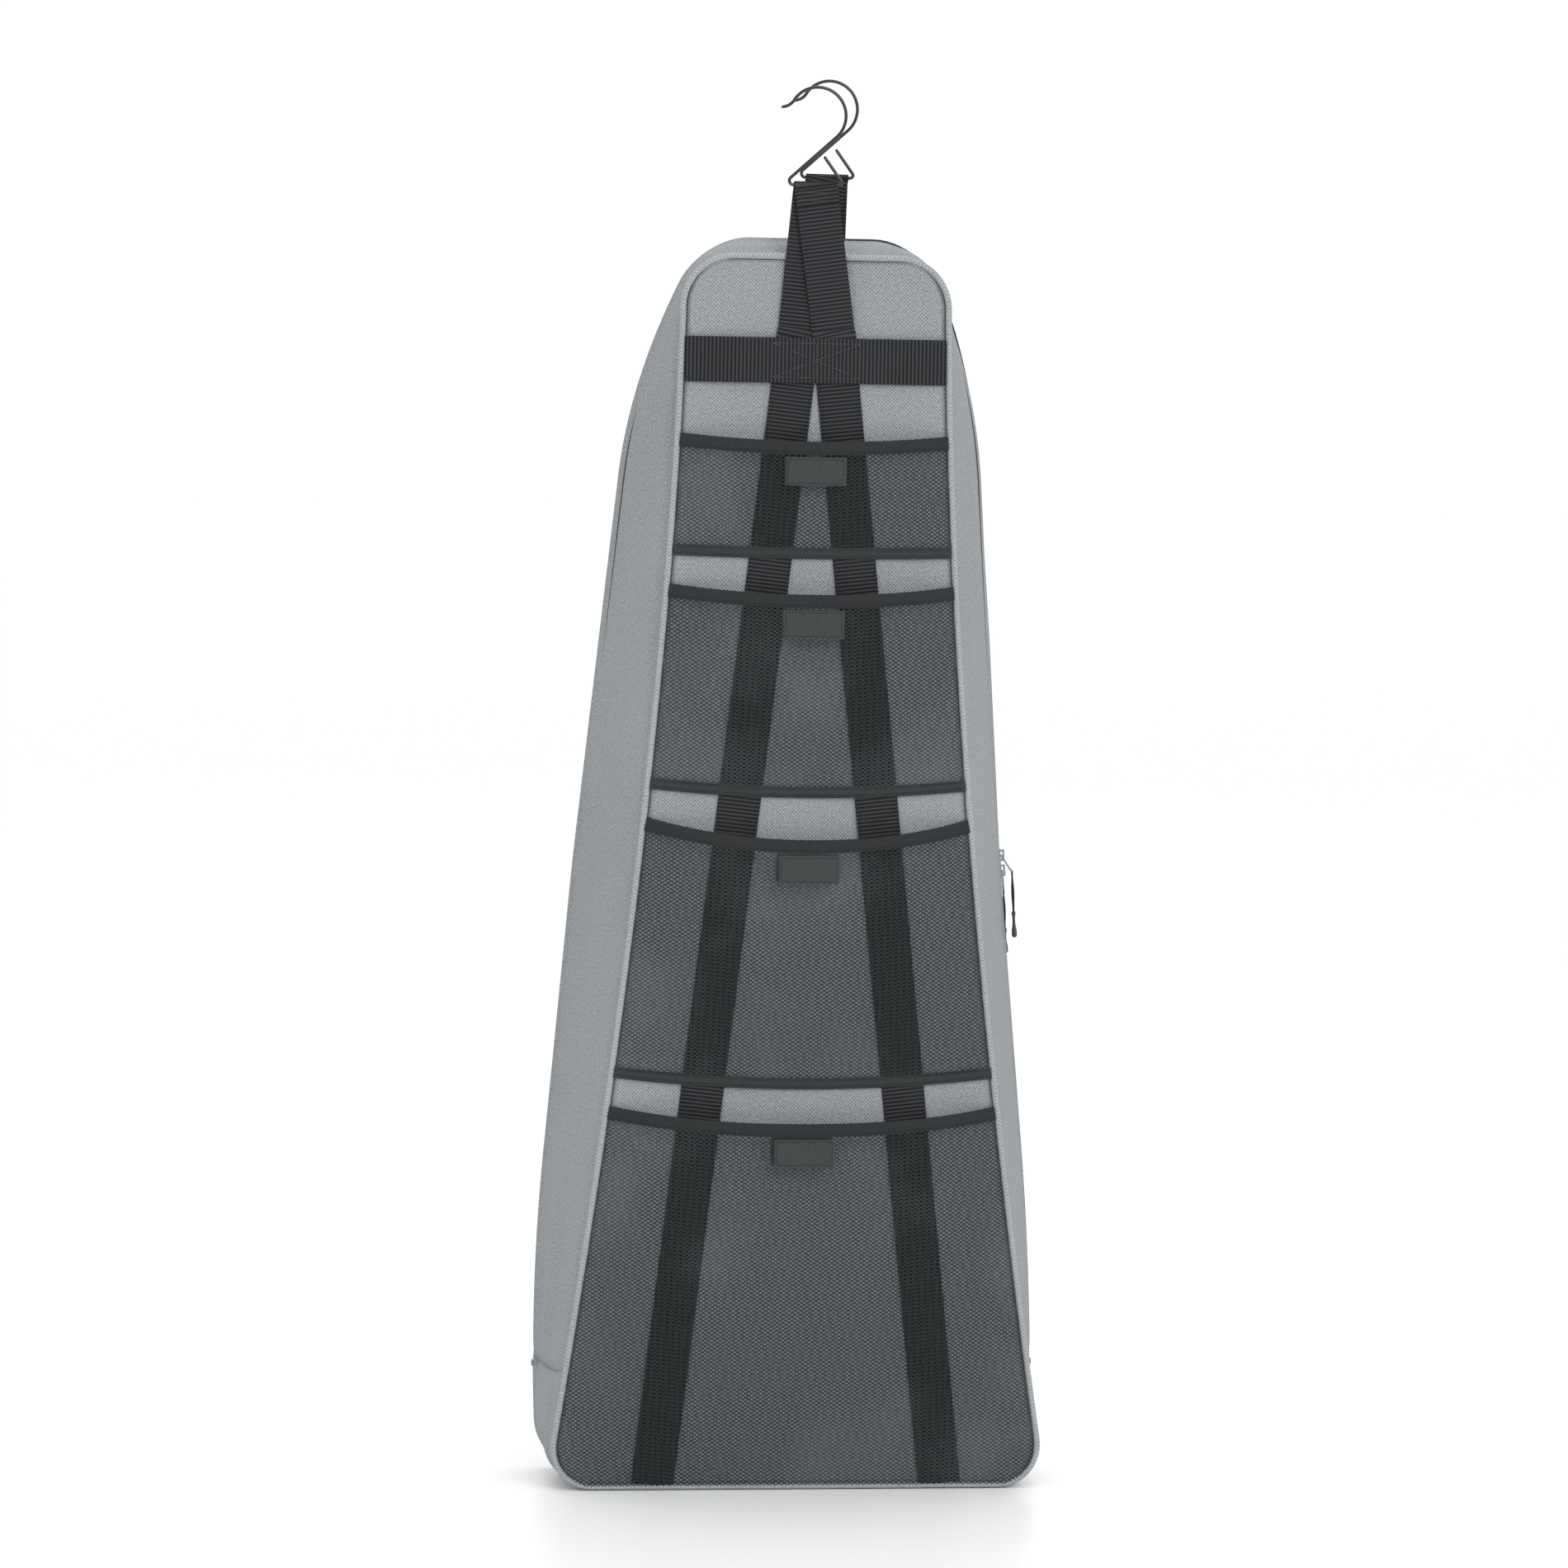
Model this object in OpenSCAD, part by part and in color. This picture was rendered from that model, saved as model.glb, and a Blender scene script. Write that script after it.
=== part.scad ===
// Hanging travel bag with mesh pockets, webbing loops and wire hooks.
// Near side (pockets) faces -Y, the zipped door is the far side, Z is up, base on the floor.

/* [Bag] */
// Height of the near panel
panel_height = 1101; // [900:1:1300]
// Half width of the near panel at its top
top_half = 121; // [90:1:160]
// How much wider each side is at the floor
flare = 97; // [40:1:130]
// Height of the far side
far_height = 1115; // [900:1:1300]
// Half width of the far side where the sliders meet
zip_half = 193.5; // [150:0.5:260]
// Depth from the near panel to the far panel where the sliders meet
bag_depth = 162; // [110:1:220]
// Fabric thickness
fabric = 1.6; // [1:0.1:3]
// Radius of the piping cord
piping_r = 2.8; // [2:0.1:4]

/* [Webbing] */
// Webbing width
web_width = 38; // [25:1:50]
// Webbing thickness
web = 1.4; // [1:0.1:2]
// Distance of each slanted strap from the centre at the floor
strap_spread = 130; // [80:1:170]
// Height of the hook bar, where the slanted straps would meet
apex_z = 1167; // [1100:1:1300]
// Height of the lower edge of the cross strap
cross_z = 987; // [900:1:1040]

/* [Pockets] */
// Height of each pocket floor, top to bottom
pocket_floor = [832, 620, 360, 8];
// Height of each pocket mouth at its sides
pocket_top = [940, 804, 597, 340];
// How far each mouth dips at its middle
mouth_dip = [6, 8, 19, 15];
// How far each mouth stands off the panel
mouth_depth = [14, 16, 18, 18];
// Height of the elastic binding
elastic_height = 12; // [8:1:20]
// Height of the hem at the pocket floor
hem_height = 10; // [6:1:16]
// Size of the hook-and-loop tabs
tab_size = [54, 25];

/* [Zip] */
// Height where the two sliders meet
meet_z = 551; // [450:1:650]
// Height of the door fold
fold_z = 100; // [80:1:140]
// Length of a slider
slider_length = 13; // [10:0.5:18]
// Length of a metal pull
pull_length = 18; // [14:1:24]
// Tilt of the upper pull away from the bag
upper_tilt = 34; // [20:1:40]
// Tilt of the lower pull away from the bag
lower_tilt = 6; // [4:1:12]
// Length of the pull cord
cord_length = 35; // [20:1:50]
// Length of the moulded grip
grip_length = 25; // [18:1:32]

/* [Hooks] */
// Radius of the hook crown
crown_r = 25; // [18:1:32]
// Radius of the wire
wire_r = 1.45; // [1.2:0.05:2]

/* [Hidden] */

$fn = 32;
near_y = -60; // outer face of the near panel
gap = 0.2; // between pieces sewn together
clear = 0.35; // between moving pieces
tape_width = 14;
zip_inset = 18; // zip line to the outer face of the far panel
zip_slope = 0.0894; // how fast the sides widen downwards along the zip
upper_lean = 0.147;
lower_lean = 0.0444;
straight_top = 900; // the zip is straight below this
straight_foot = 290; // and above this
base_r = 42;
near_top_r = 45;
far_top_r = 38;
rim_z = 3; // lowest cord centre
cross_height = 40;
pivot_z = cross_z + cross_height + 2.6;
cloth = 0.8; // mesh thickness
fold_gap = 0.4;

// Half width of the near panel's cord line at a height.
function near_half(z) = top_half - piping_r + flare * pow(max(0, (1060 - z) / 1000), 1.6);
// Half width of the zip line at a height.
function far_half(z) = zip_half + zip_slope * (meet_z - z)
    - 0.0011 * pow(max(0, z - straight_top), 2) - 0.00025 * pow(max(0, straight_foot - z), 2);
// Outer face of the far panel at a height.
function far_y(z) = near_y + bag_depth
    - upper_lean * max(0, z - meet_z) - lower_lean * max(0, meet_z - z)
    - 0.000443 * pow(max(0, z - straight_top), 2) - 0.000326 * pow(max(0, straight_foot - z), 2);
function half(far, z) = far ? far_half(z) : near_half(z);

// Even steps from a to b, without b.
function steps(a, b, n) = [for (i = [0:n - 1]) a + (b - a) * i / n];
function levels(low, high) = concat(
    steps(low, fold_z - fold_gap, 3), [fold_z - fold_gap],
    steps(fold_z + fold_gap, straight_foot, 6), steps(straight_foot, meet_z, 3),
    steps(meet_z, straight_top, 4), steps(straight_top, high, 6), [high]);
// Right half of an outline, from the middle of the floor to the middle of the top.
function half_ring(far, zb, zt, rt) = concat(
    [for (i = [0:2]) [(half(far, zb) - base_r) * i / 3, zb]],
    [for (a = [0:15:75]) let (z = zb + base_r * (1 - cos(a)))
        [half(far, z) - base_r * (1 - sin(a)), z]],
    [for (z = levels(zb + base_r, zt - rt)) [half(far, z), z]],
    [for (a = [15:15:90]) let (z = zt - rt * (1 - sin(a)))
        [half(far, z) - rt * (1 - cos(a)), z]],
    [for (i = [2:-1:0]) [(half(far, zt) - rt) * i / 3, zt]]);
function whole(h) = concat(h, [for (i = [len(h) - 2:-1:1]) [-h[i][0], h[i][1]]]);
function normals(r) = let (n = len(r)) [for (i = [0:n - 1])
    let (t = r[(i + 1) % n] - r[(i + n - 1) % n]) [t[1], -t[0]] / norm(t)];

near_ring = whole(half_ring(false, rim_z, panel_height - piping_r, near_top_r));
far_ring = whole(half_ring(true, rim_z, far_height - rim_z, far_top_r));
near_n = normals(near_ring);
far_n = normals(far_ring);
count = len(far_ring);
fold_index = 12; // ring point just under the fold
top_index = 38; // ring point where the top corner ends
function wrap(i) = (i + count) % count;
// A point beside the near cord (y given) or the zip line (u towards the door), v outwards.
function by_near(i, y, v) = let (p = near_ring[wrap(i)] + v * near_n[wrap(i)]) [p[0], y, p[1]];
function by_zip(i, u, v) = let (q = far_ring[wrap(i)], p = q + v * far_n[wrap(i)])
    [p[0], far_y(q[1]) - zip_inset + u, p[1]];

// A closed solid between an outer and an inner grid of points.
module slab(outer, inner) {
    rows = len(outer);
    cols = len(outer[0]);
    half_count = rows * cols;
    points = concat([for (r = outer) each r], [for (r = inner) each r]);
    quads = concat(
        [for (i = [0:rows - 2], j = [0:cols - 2]) let (a = i * cols + j)
            [a, a + cols, a + cols + 1, a + 1]],
        [for (i = [0:rows - 2], j = [0:cols - 2]) let (a = i * cols + j + half_count)
            [a, a + 1, a + cols + 1, a + cols]],
        [for (i = [0:rows - 2]) let (a = i * cols)
            [a, a + half_count, a + half_count + cols, a + cols]],
        [for (i = [0:rows - 2]) let (a = i * cols + cols - 1)
            [a, a + cols, a + half_count + cols, a + half_count]],
        [for (j = [0:cols - 2]) [j, j + 1, j + 1 + half_count, j + half_count]],
        [for (j = [0:cols - 2]) let (a = (rows - 1) * cols + j)
            [a, a + half_count, a + 1 + half_count, a + 1]]);
    polyhedron(points, [for (q = quads) each [[q[0], q[1], q[2]], [q[0], q[2], q[3]]]]);
}

// A cord through rings of points, closed or capped.
module tube(rings, closed) {
    n = len(rings[0]);
    m = len(rings);
    side = [for (j = [0:m - (closed ? 1 : 2)], i = [0:n - 1])
        let (a = j * n + i, b = j * n + (i + 1) % n,
            c = ((j + 1) % m) * n + (i + 1) % n, d = ((j + 1) % m) * n + i)
        each [[a, d, c], [a, c, b]]];
    caps = closed ? [] : [[for (i = [0:n - 1]) i], [for (i = [n - 1:-1:0]) (m - 1) * n + i]];
    polyhedron([for (r = rings) each r], concat(side, caps));
}

cord_points = [for (a = [0:36:324]) piping_r * [cos(a), sin(a)]];

// ---- Bag walls ----
module near_panel() color("LightSlateGray")
    translate([0, near_y + fabric, 0]) rotate([90, 0, 0]) linear_extrude(fabric)
        polygon([for (i = [0:count - 1]) near_ring[i] - (piping_r + gap) * near_n[i]]);

module side_gusset() color("DarkGray")
    slab([for (i = [fold_index + 1:count - fold_index - 1])
            [by_near(i, near_y + 4, 1.4), by_zip(i, -tape_width - gap, 1.4)]],
        [for (i = [fold_index + 1:count - fold_index - 1])
            [by_near(i, near_y + 4, 1.4 - fabric), by_zip(i, -tape_width - gap, 1.4 - fabric)]]);

module base_gusset() color("Gray")
    slab([for (i = [-fold_index:fold_index])
            [by_near(i, near_y + 4, rim_z), by_zip(i, zip_inset - 4, rim_z)]],
        [for (i = [-fold_index:fold_index])
            [by_near(i, near_y + 4, rim_z - 2), by_zip(i, zip_inset - 4, rim_z - 2)]]);

module base_board() color("Sienna")
    translate([-178, near_y + 6, 2.4]) cube([356, 96, 3]);

module near_piping() color("Silver")
    tube([for (i = [0:count - 1])
        [for (c = cord_points) by_near(i, near_y + 1 + c[0], c[1])]], true);

// Rows of the far panel between two ring points.
function far_rows(a, b, dy) = [for (i = [a:b])
    let (p = far_ring[i] - 5.2 * far_n[i], y = far_y(p[1]) + dy)
    [for (s = [-1, -0.5, 0, 0.5, 1]) [p[0] * s, y, p[1]]]];

module far_panel_foot() color("LightSlateGray")
    slab(far_rows(3, fold_index, -fabric), far_rows(3, fold_index, 0));

module door_panel() color("LightSlateGray")
    slab(far_rows(fold_index + 1, top_index, -fabric), far_rows(fold_index + 1, top_index, 0));

// Cord along the far edge between two ring points.
module far_cord(a, b)
    tube([for (i = [a:b]) [for (c = cord_points) by_zip(i, zip_inset - 1 + c[0], c[1] - 2)]],
        false);
module far_piping_foot() color("Silver") far_cord(-fold_index, fold_index);
module far_piping() color("Silver") far_cord(fold_index + 1, count - fold_index - 1);

// ---- Zip ----
first = fold_index + 1;
last = count - fold_index - 1;
// A strip beside the zip line from u0 to u1, dropping by d at its far edge.
module zip_strip(u0, u1, v, thick, d = 0)
    slab([for (i = [first:last]) [by_zip(i, u0, v + thick - (u0 > 0 ? 0 : d)),
            by_zip(i, u1, v + thick - (u0 > 0 ? d : 0))]],
        [for (i = [first:last]) [by_zip(i, u0, v - (u0 > 0 ? 0 : d)),
            by_zip(i, u1, v - (u0 > 0 ? d : 0))]]);
module zip_tape_bag() color("DimGray") zip_strip(-tape_width, -0.75, 0, 0.8);
module zip_coil_bag() color("Black") zip_strip(-3.2, -0.75, 1, 2);
module zip_tape_door() color("DimGray") zip_strip(0.75, tape_width - 0.3, 0, 0.8, 1.5);
module zip_coil_door() color("Black") zip_strip(0.75, 3.2, 1, 2);
module zip_end_stops() color("Silver")
    for (side = [-1, 1])
        translate([side * (far_half(fold_z - 4) + rim_z + 1), far_y(fold_z) - zip_inset, fold_z - 4])
            cube([1.6, 8, 5], center = true);

// Places a piece on the zip: x across, y away from the bag, z along the travel.
module on_zip(z, lean, up) {
    along = [-zip_slope, -lean, 1] * up / norm([zip_slope, lean, 1]);
    out = [1, 0, zip_slope] / norm([1, zip_slope]);
    side = cross(out, along);
    p = [far_half(z), far_y(z) - zip_inset, z];
    multmatrix([[side[0], out[0], along[0], p[0]],
        [side[1], out[1], along[1], p[1]],
        [side[2], out[2], along[2], p[2]]]) children();
}
pivot_out = 5.1; // pull axis above the zip line
cord_lean = 12;
upper_z = meet_z + 7;
lower_z = meet_z - 7;
// Slider: plates over and under the coil, a post between its halves, one rail and a bridge.
module slider(bag_side) color("DarkSlateGray") {
    translate([-4.6, 3.4, -slider_length / 2]) cube([9.2, 0.8, slider_length]);
    translate([-4.6, -1.7, -slider_length / 2]) cube([9.2, 0.9, slider_length]);
    translate([-0.35, -1.2, slider_length / 2 - 2.4]) cube([0.7, 5, 2.4]);
    translate([bag_side > 0 ? 3.8 : -4.6, 1.3, -slider_length / 2])
        cube([0.8, 2.4, slider_length]);
    for (end = [-1, 1])
        translate([-0.9, 4, end * 4.4 - 0.8]) cube([1.8, 4.2, 1.6]);
    translate([-0.9, 6.6, -5.2]) cube([1.8, 1.6, 10.4]);
}
module slider_upper() on_zip(upper_z, upper_lean, 1) slider(1);
module slider_lower() on_zip(lower_z, -lower_lean, -1) slider(-1);

function pivot(z) = [far_half(z) + pivot_out, far_y(z) - zip_inset, z + pivot_out * zip_slope];
// Metal pull hanging down from its axis, an eye at the top and one for the cord.
module pull(tilt) color("SlateGray") rotate([0, -tilt, 0]) {
    rotate([90, 0, 0]) cylinder(h = 7, r = 0.7, center = true);
    for (end = [-1, 1])
        translate([-0.6, end * 2.6 - 0.8, -6.6]) cube([1.2, 1.6, 6.6]);
    difference() {
        translate([-0.6, -3.4, -pull_length]) cube([1.2, 6.8, pull_length - 6]);
        translate([-1, -1.6, -pull_length + 1.4]) cube([2, 3.2, 3]);
    }
}
module pull_upper() translate(pivot(upper_z)) pull(upper_tilt);
module pull_lower() translate(pivot(lower_z)) pull(lower_tilt);

// Where the cord hangs from, at the foot of a pull.
function cord_top(z, tilt) = pivot(z) + (pull_length + clear + 0.8) * [sin(tilt), 0, -cos(tilt)];
module cord_pull() {
    color("Black") translate([0, 0, -cord_length]) cylinder(h = cord_length, r = 1.1, $fn = 20);
    color("DimGray") translate([0, 0, -cord_length - grip_length])
        cylinder(h = grip_length, r1 = 3.4, r2 = 1.9, $fn = 24);
}
// The cords follow the slope of the zip and lean apart.
module cord_pull_upper() translate(cord_top(upper_z, upper_tilt))
    rotate([-cord_lean, -atan(zip_slope), 0]) cord_pull();
module cord_pull_lower() translate(cord_top(lower_z, lower_tilt))
    rotate([cord_lean, -atan(zip_slope), 0]) cord_pull();

// ---- Pockets ----
// Half width inside the near cord at a height.
function inside_half(z) = near_half(z) - piping_r - 2 * gap
    - (z < rim_z + base_r
        ? base_r * (1 - sqrt(max(0, 1 - pow((rim_z + base_r - z) / base_r, 2)))) : 0);
function mesh_floor(k) = pocket_floor[k] + (k < 3 ? hem_height + gap : 0);
function mouth_z(k, u) = pocket_top[k] - mouth_dip[k] * (1 - u * u);
// Outer surface of a pocket: u from -1 to 1 across, v from 0 to 1 up, back into the pocket.
function pocket_point(k, u, v, back) =
    let (z = mesh_floor(k) + (mouth_z(k, u) - elastic_height - gap - mesh_floor(k)) * v)
    [u * inside_half(z),
        near_y - 2.6 - mouth_depth[k] * (1 - pow(1 - v, 2)) * (1 - pow(u, 4)) + back, z];
function pocket_grid(k, u0, u1, v0, v1, n, m, back) =
    [for (i = [0:n]) [for (j = [0:m])
        pocket_point(k, u0 + (u1 - u0) * i / n, v0 + (v1 - v0) * j / m, back)]];

module pocket_mesh(k) color("Black")
    slab(pocket_grid(k, -1, 1, 0, 1, 14, 7, 0), pocket_grid(k, -1, 1, 0, 1, 14, 7, cloth));
module pocket_elastic(k) color("DimGray")
    slab([for (i = [0:14]) let (u = i / 7 - 1, p = pocket_point(k, u, 1, -0.5))
            [p + [0, 0, gap], [p[0], p[1], mouth_z(k, u)]]],
        [for (i = [0:14]) let (u = i / 7 - 1, p = pocket_point(k, u, 1, 1.1))
            [p + [0, 0, gap], [p[0], p[1], mouth_z(k, u)]]]);
module pocket_hem(k) color("DimGray") {
    low = pocket_floor[k];
    high = low + hem_height;
    translate([0, near_y - 2, 0]) rotate([90, 0, 0]) linear_extrude(1.2)
        polygon([[-inside_half(low), low], [inside_half(low), low],
            [inside_half(high), high], [-inside_half(high), high]]);
}
function tab_z(k) = mouth_z(k, 0) - elastic_height - 2 - tab_size[1] / 2;
module hook_tab(k) color("DarkSlateGray") {
    u = tab_size[0] / 2 / inside_half(tab_z(k));
    span = mouth_z(k, 0) - elastic_height - gap - mesh_floor(k);
    v0 = (tab_z(k) - tab_size[1] / 2 - mesh_floor(k)) / span;
    v1 = (tab_z(k) + tab_size[1] / 2 - mesh_floor(k)) / span;
    slab(pocket_grid(k, -u, u, v0, v1, 4, 3, cloth + gap),
        pocket_grid(k, -u, u, v0, v1, 4, 3, cloth + gap + 1.2));
}
module loop_tab(k) color("DarkSlateGray") {
    lift = strap_x(tab_z(k)) - web_width / 2 < tab_size[0] / 2 + 1 ? web + gap : 0;
    translate([-tab_size[0] / 2, near_y - gap - lift - 1.2, tab_z(k) - tab_size[1] / 2])
        cube([tab_size[0], 1.2, tab_size[1]]);
}
module pocket_1_mesh() pocket_mesh(0);
module pocket_2_mesh() pocket_mesh(1);
module pocket_3_mesh() pocket_mesh(2);
module pocket_4_mesh() pocket_mesh(3);
module pocket_1_elastic() pocket_elastic(0);
module pocket_2_elastic() pocket_elastic(1);
module pocket_3_elastic() pocket_elastic(2);
module pocket_4_elastic() pocket_elastic(3);
module pocket_1_hem() pocket_hem(0);
module pocket_2_hem() pocket_hem(1);
module pocket_3_hem() pocket_hem(2);
module pocket_1_hook_tab() hook_tab(0);
module pocket_2_hook_tab() hook_tab(1);
module pocket_3_hook_tab() hook_tab(2);
module pocket_4_hook_tab() hook_tab(3);
module pocket_1_loop_tab() loop_tab(0);
module pocket_2_loop_tab() loop_tab(1);
module pocket_3_loop_tab() loop_tab(2);
module pocket_4_loop_tab() loop_tab(3);

// ---- Webbing ----
// Distance of a slanted strap's middle from the centre at a height.
function strap_x(z) = strap_spread * (apex_z - z) / apex_z;
strap_foot = 9;
strap_end = cross_z + 5;
module near_strap(side) color("DimGray")
    translate([0, near_y - gap, 0]) rotate([90, 0, 0]) linear_extrude(web)
        polygon([for (p = [[strap_foot, -1], [strap_foot, 1], [strap_end, 1], [strap_end, -1]])
            [side * strap_x(p[0]) + p[1] * web_width / 2, p[0]]]);
module near_strap_left() near_strap(-1);
module near_strap_right() near_strap(1);
module near_cross_strap() color("DimGray")
    translate([-115, near_y - 2 * gap - 2 * web, cross_z]) cube([230, web, cross_height]);

// Webbing that follows the far panel between two heights.
module far_web(x0, x1, z0, z1, n, dy) color("DimGray") {
    mid = z1 > meet_z ? meet_z : z0;
    levels = concat(z1 > meet_z ? steps(z0, mid, n) : [], steps(mid, z1, n), [z1]);
    slab([for (z = levels) [for (p = [-1, 1])
            [x0 + (x1 - x0) * (z - z0) / (z1 - z0) + p * web_width / 2, far_y(z) + dy, z]]],
        [for (z = levels) [for (p = [-1, 1])
            [x0 + (x1 - x0) * (z - z0) / (z1 - z0) + p * web_width / 2, far_y(z) + dy + web, z]]]);
}
far_strap_foot = 12;
module far_strap_feet()
    for (side = [-1, 1])
        far_web(side * strap_x(far_strap_foot), side * strap_x(fold_z - fold_gap),
            far_strap_foot, fold_z - fold_gap, 5, 0.5);
module far_strap(side)
    far_web(side * strap_x(fold_z + fold_gap), side * strap_x(strap_end),
        fold_z + fold_gap, strap_end, 18, 0.5);
module far_strap_left() far_strap(-1);
module far_strap_right() far_strap(1);
module far_cross_strap() color("DimGray") {
    x = far_half(cross_z + cross_height) - 12;
    slab([for (z = [cross_z:8:cross_z + cross_height])
            [for (s = [-1, 1]) [s * x, far_y(z) + 0.5 + web + gap, z]]],
        [for (z = [cross_z:8:cross_z + cross_height])
            [for (s = [-1, 1]) [s * x, far_y(z) + 0.5 + 2 * web + gap, z]]]);
}

// Free loop: one strip from its fold up one leg, round the hook bar and down the other leg.
bar_gap = wire_r + clear;
module web_loop(length, lean = 0) color("DimGray") {
    drift = strap_x(pivot_z);
    // Strip points as [x, y, z, direction the outer face looks].
    path = concat([[drift, -0.8, 0, 180]],
        [for (a = [180:-18:0])
            [lean, (bar_gap + web / 2) * cos(a), length + (bar_gap + web / 2) * sin(a), a]],
        [[-drift, 0.8, 0, 0]]);
    slab([for (p = path) [for (s = [-1, 1])
            [p[0] + s * web_width / 2, p[1] + web / 2 * cos(p[3]), p[2] + web / 2 * sin(p[3])]]],
        [for (p = path) [for (s = [-1, 1])
            [p[0] + s * web_width / 2, p[1] - web / 2 * cos(p[3]), p[2] - web / 2 * sin(p[3])]]]);
}
near_pivot = [0, near_y - 2.4, pivot_z];
near_bar = [-4, near_y - 8, apex_z - 6];
far_pivot = [0, far_y(pivot_z) + 2.8, pivot_z];
far_bar = [15, near_y + 58, apex_z + 3];
// A loop standing on its pivot and leaning to its bar.
module loop_between(pivot, bar) translate(pivot)
    rotate([atan((pivot[1] - bar[1]) / (bar[2] - pivot[2])), 0, 0])
        web_loop(norm([bar[1] - pivot[1], bar[2] - pivot[2]]), bar[0]);
module near_loop() loop_between(near_pivot, near_bar);
module far_loop() loop_between(far_pivot, far_bar);

// ---- Wire hook ----
function arc(c, r, from, to, n) =
    [for (i = [0:n]) let (a = from + (to - from) * i / n) c + r * [cos(a), sin(a)]];
right_bend = [20.6, 2.6];
left_bend = [-19.6, 3.6];
crown = [1.1, 60.7];
short_start = right_bend + 2.6 * [cos(36), sin(36)];
tip_start = crown + crown_r * [cos(150), sin(150)];
// One wire: short leg, bar, long leg, crown and curled tip, in the plane y = 0.
wire_path = concat([short_start + 26 * [cos(126), sin(126)]],
    arc(right_bend, 2.6, 36, -90, 6), arc(left_bend, 3.6, -90, -228, 8),
    arc(crown, crown_r, -48, 150, 26),
    [tip_start + [-2.4, -3.2], tip_start + [-5.4, -5], tip_start + [-11, -7]]);
module wire_hook() color("Black")
    tube([for (i = [0:len(wire_path) - 1])
        let (p = wire_path[i], q = wire_path[max(0, i - 1)],
            t = (wire_path[min(len(wire_path) - 1, i + 1)] - q), n = [t[1], -t[0]] / norm(t))
        [for (a = [0:30:330])
            [p[0] + wire_r * cos(a) * n[0], wire_r * sin(a), p[1] + wire_r * cos(a) * n[1]]]], false);
module near_hook() translate(near_bar) wire_hook();
module far_hook() translate(far_bar) wire_hook();

near_panel();
side_gusset();
base_gusset();
base_board();
near_piping();
zip_tape_bag();
zip_coil_bag();
zip_end_stops();
far_panel_foot();
far_piping_foot();
far_strap_feet();
pocket_1_mesh();
pocket_2_mesh();
pocket_3_mesh();
pocket_4_mesh();
pocket_1_elastic();
pocket_2_elastic();
pocket_3_elastic();
pocket_4_elastic();
pocket_1_hem();
pocket_2_hem();
pocket_3_hem();
pocket_1_hook_tab();
pocket_2_hook_tab();
pocket_3_hook_tab();
pocket_4_hook_tab();
pocket_1_loop_tab();
pocket_2_loop_tab();
pocket_3_loop_tab();
pocket_4_loop_tab();
near_strap_left();
near_strap_right();
near_cross_strap();
near_loop();
near_hook();
door_panel();
far_piping();
zip_tape_door();
zip_coil_door();
far_strap_left();
far_strap_right();
far_cross_strap();
far_loop();
far_hook();
slider_upper();
pull_upper();
cord_pull_upper();
slider_lower();
pull_lower();
cord_pull_lower();
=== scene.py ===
import math
import bpy
import numpy as np
from mathutils import Matrix, Vector


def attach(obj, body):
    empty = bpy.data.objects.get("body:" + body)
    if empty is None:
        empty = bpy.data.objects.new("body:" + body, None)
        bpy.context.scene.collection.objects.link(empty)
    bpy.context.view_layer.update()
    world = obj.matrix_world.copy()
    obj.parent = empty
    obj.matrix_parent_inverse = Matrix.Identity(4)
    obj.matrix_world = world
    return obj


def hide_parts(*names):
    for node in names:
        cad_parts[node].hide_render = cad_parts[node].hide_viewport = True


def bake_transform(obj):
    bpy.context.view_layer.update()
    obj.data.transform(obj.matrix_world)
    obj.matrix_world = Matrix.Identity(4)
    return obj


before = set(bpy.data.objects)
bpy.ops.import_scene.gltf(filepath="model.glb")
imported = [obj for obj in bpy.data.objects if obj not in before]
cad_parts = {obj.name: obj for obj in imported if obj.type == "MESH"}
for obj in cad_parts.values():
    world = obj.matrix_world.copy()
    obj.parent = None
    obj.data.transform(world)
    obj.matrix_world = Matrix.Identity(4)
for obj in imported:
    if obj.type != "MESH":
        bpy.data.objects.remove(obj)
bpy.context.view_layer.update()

rng = np.random.default_rng(7)
mm = 0.001

# the camera first: a long lens a little left of the pocket side and a little above it
view = {"azimuth": -7.2, "elevation": 4.0, "distance": 5.2, "roll": 1.0,
        "target": (-0.014, 0.0, 0.628), "frameHeight": 1.407}


def placeCamera():
    cam = bpy.data.objects.new("Camera", bpy.data.cameras.new("Camera"))
    bpy.context.scene.collection.objects.link(cam)
    a, e = math.radians(view["azimuth"]), math.radians(view["elevation"])
    back = Vector((math.sin(a) * math.cos(e), -math.cos(a) * math.cos(e), math.sin(e)))
    cam.data.lens = 36 * view["distance"] / view["frameHeight"]
    cam.data.clip_end = 50
    turn = back.to_track_quat("Z", "Y").to_matrix()
    turn = turn @ Matrix.Rotation(math.radians(view["roll"]), 3, "Z")
    cam.matrix_world = Matrix.Translation(Vector(view["target"]) + back * view["distance"]) @ turn.to_4x4()
    bpy.context.scene.camera = cam


placeCamera()
print("camera placed")

# the bag's own lines, in millimetres
bag = {"nearY": -60.0, "topHalf": 118.2, "flare": 97.0, "zipHalf": 193.5, "depth": 162.0,
       "meetZ": 551.0, "foldZ": 100.0, "baseR": 42.0, "nearTopR": 45.0, "farTopR": 38.0,
       "rimZ": 3.0, "nearTop": 1098.2, "farTop": 1112.0, "zipInset": 18.0, "cordR": 2.8}
web = {"width": 38.0, "thick": 1.4, "spread": 130.0, "apexZ": 1167.0, "crossZ": 987.0,
       "crossHeight": 40.0, "foot": 5.0, "seamAt": 16.6, "boxHalf": (39.0, 15.0)}
pivotZ = web["crossZ"] + web["crossHeight"] + 2.6
nearBar, farBar = (-4.0, -68.0, web["apexZ"] - 6), (15.0, -2.0, web["apexZ"] + 3)  # hook bars


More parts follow.
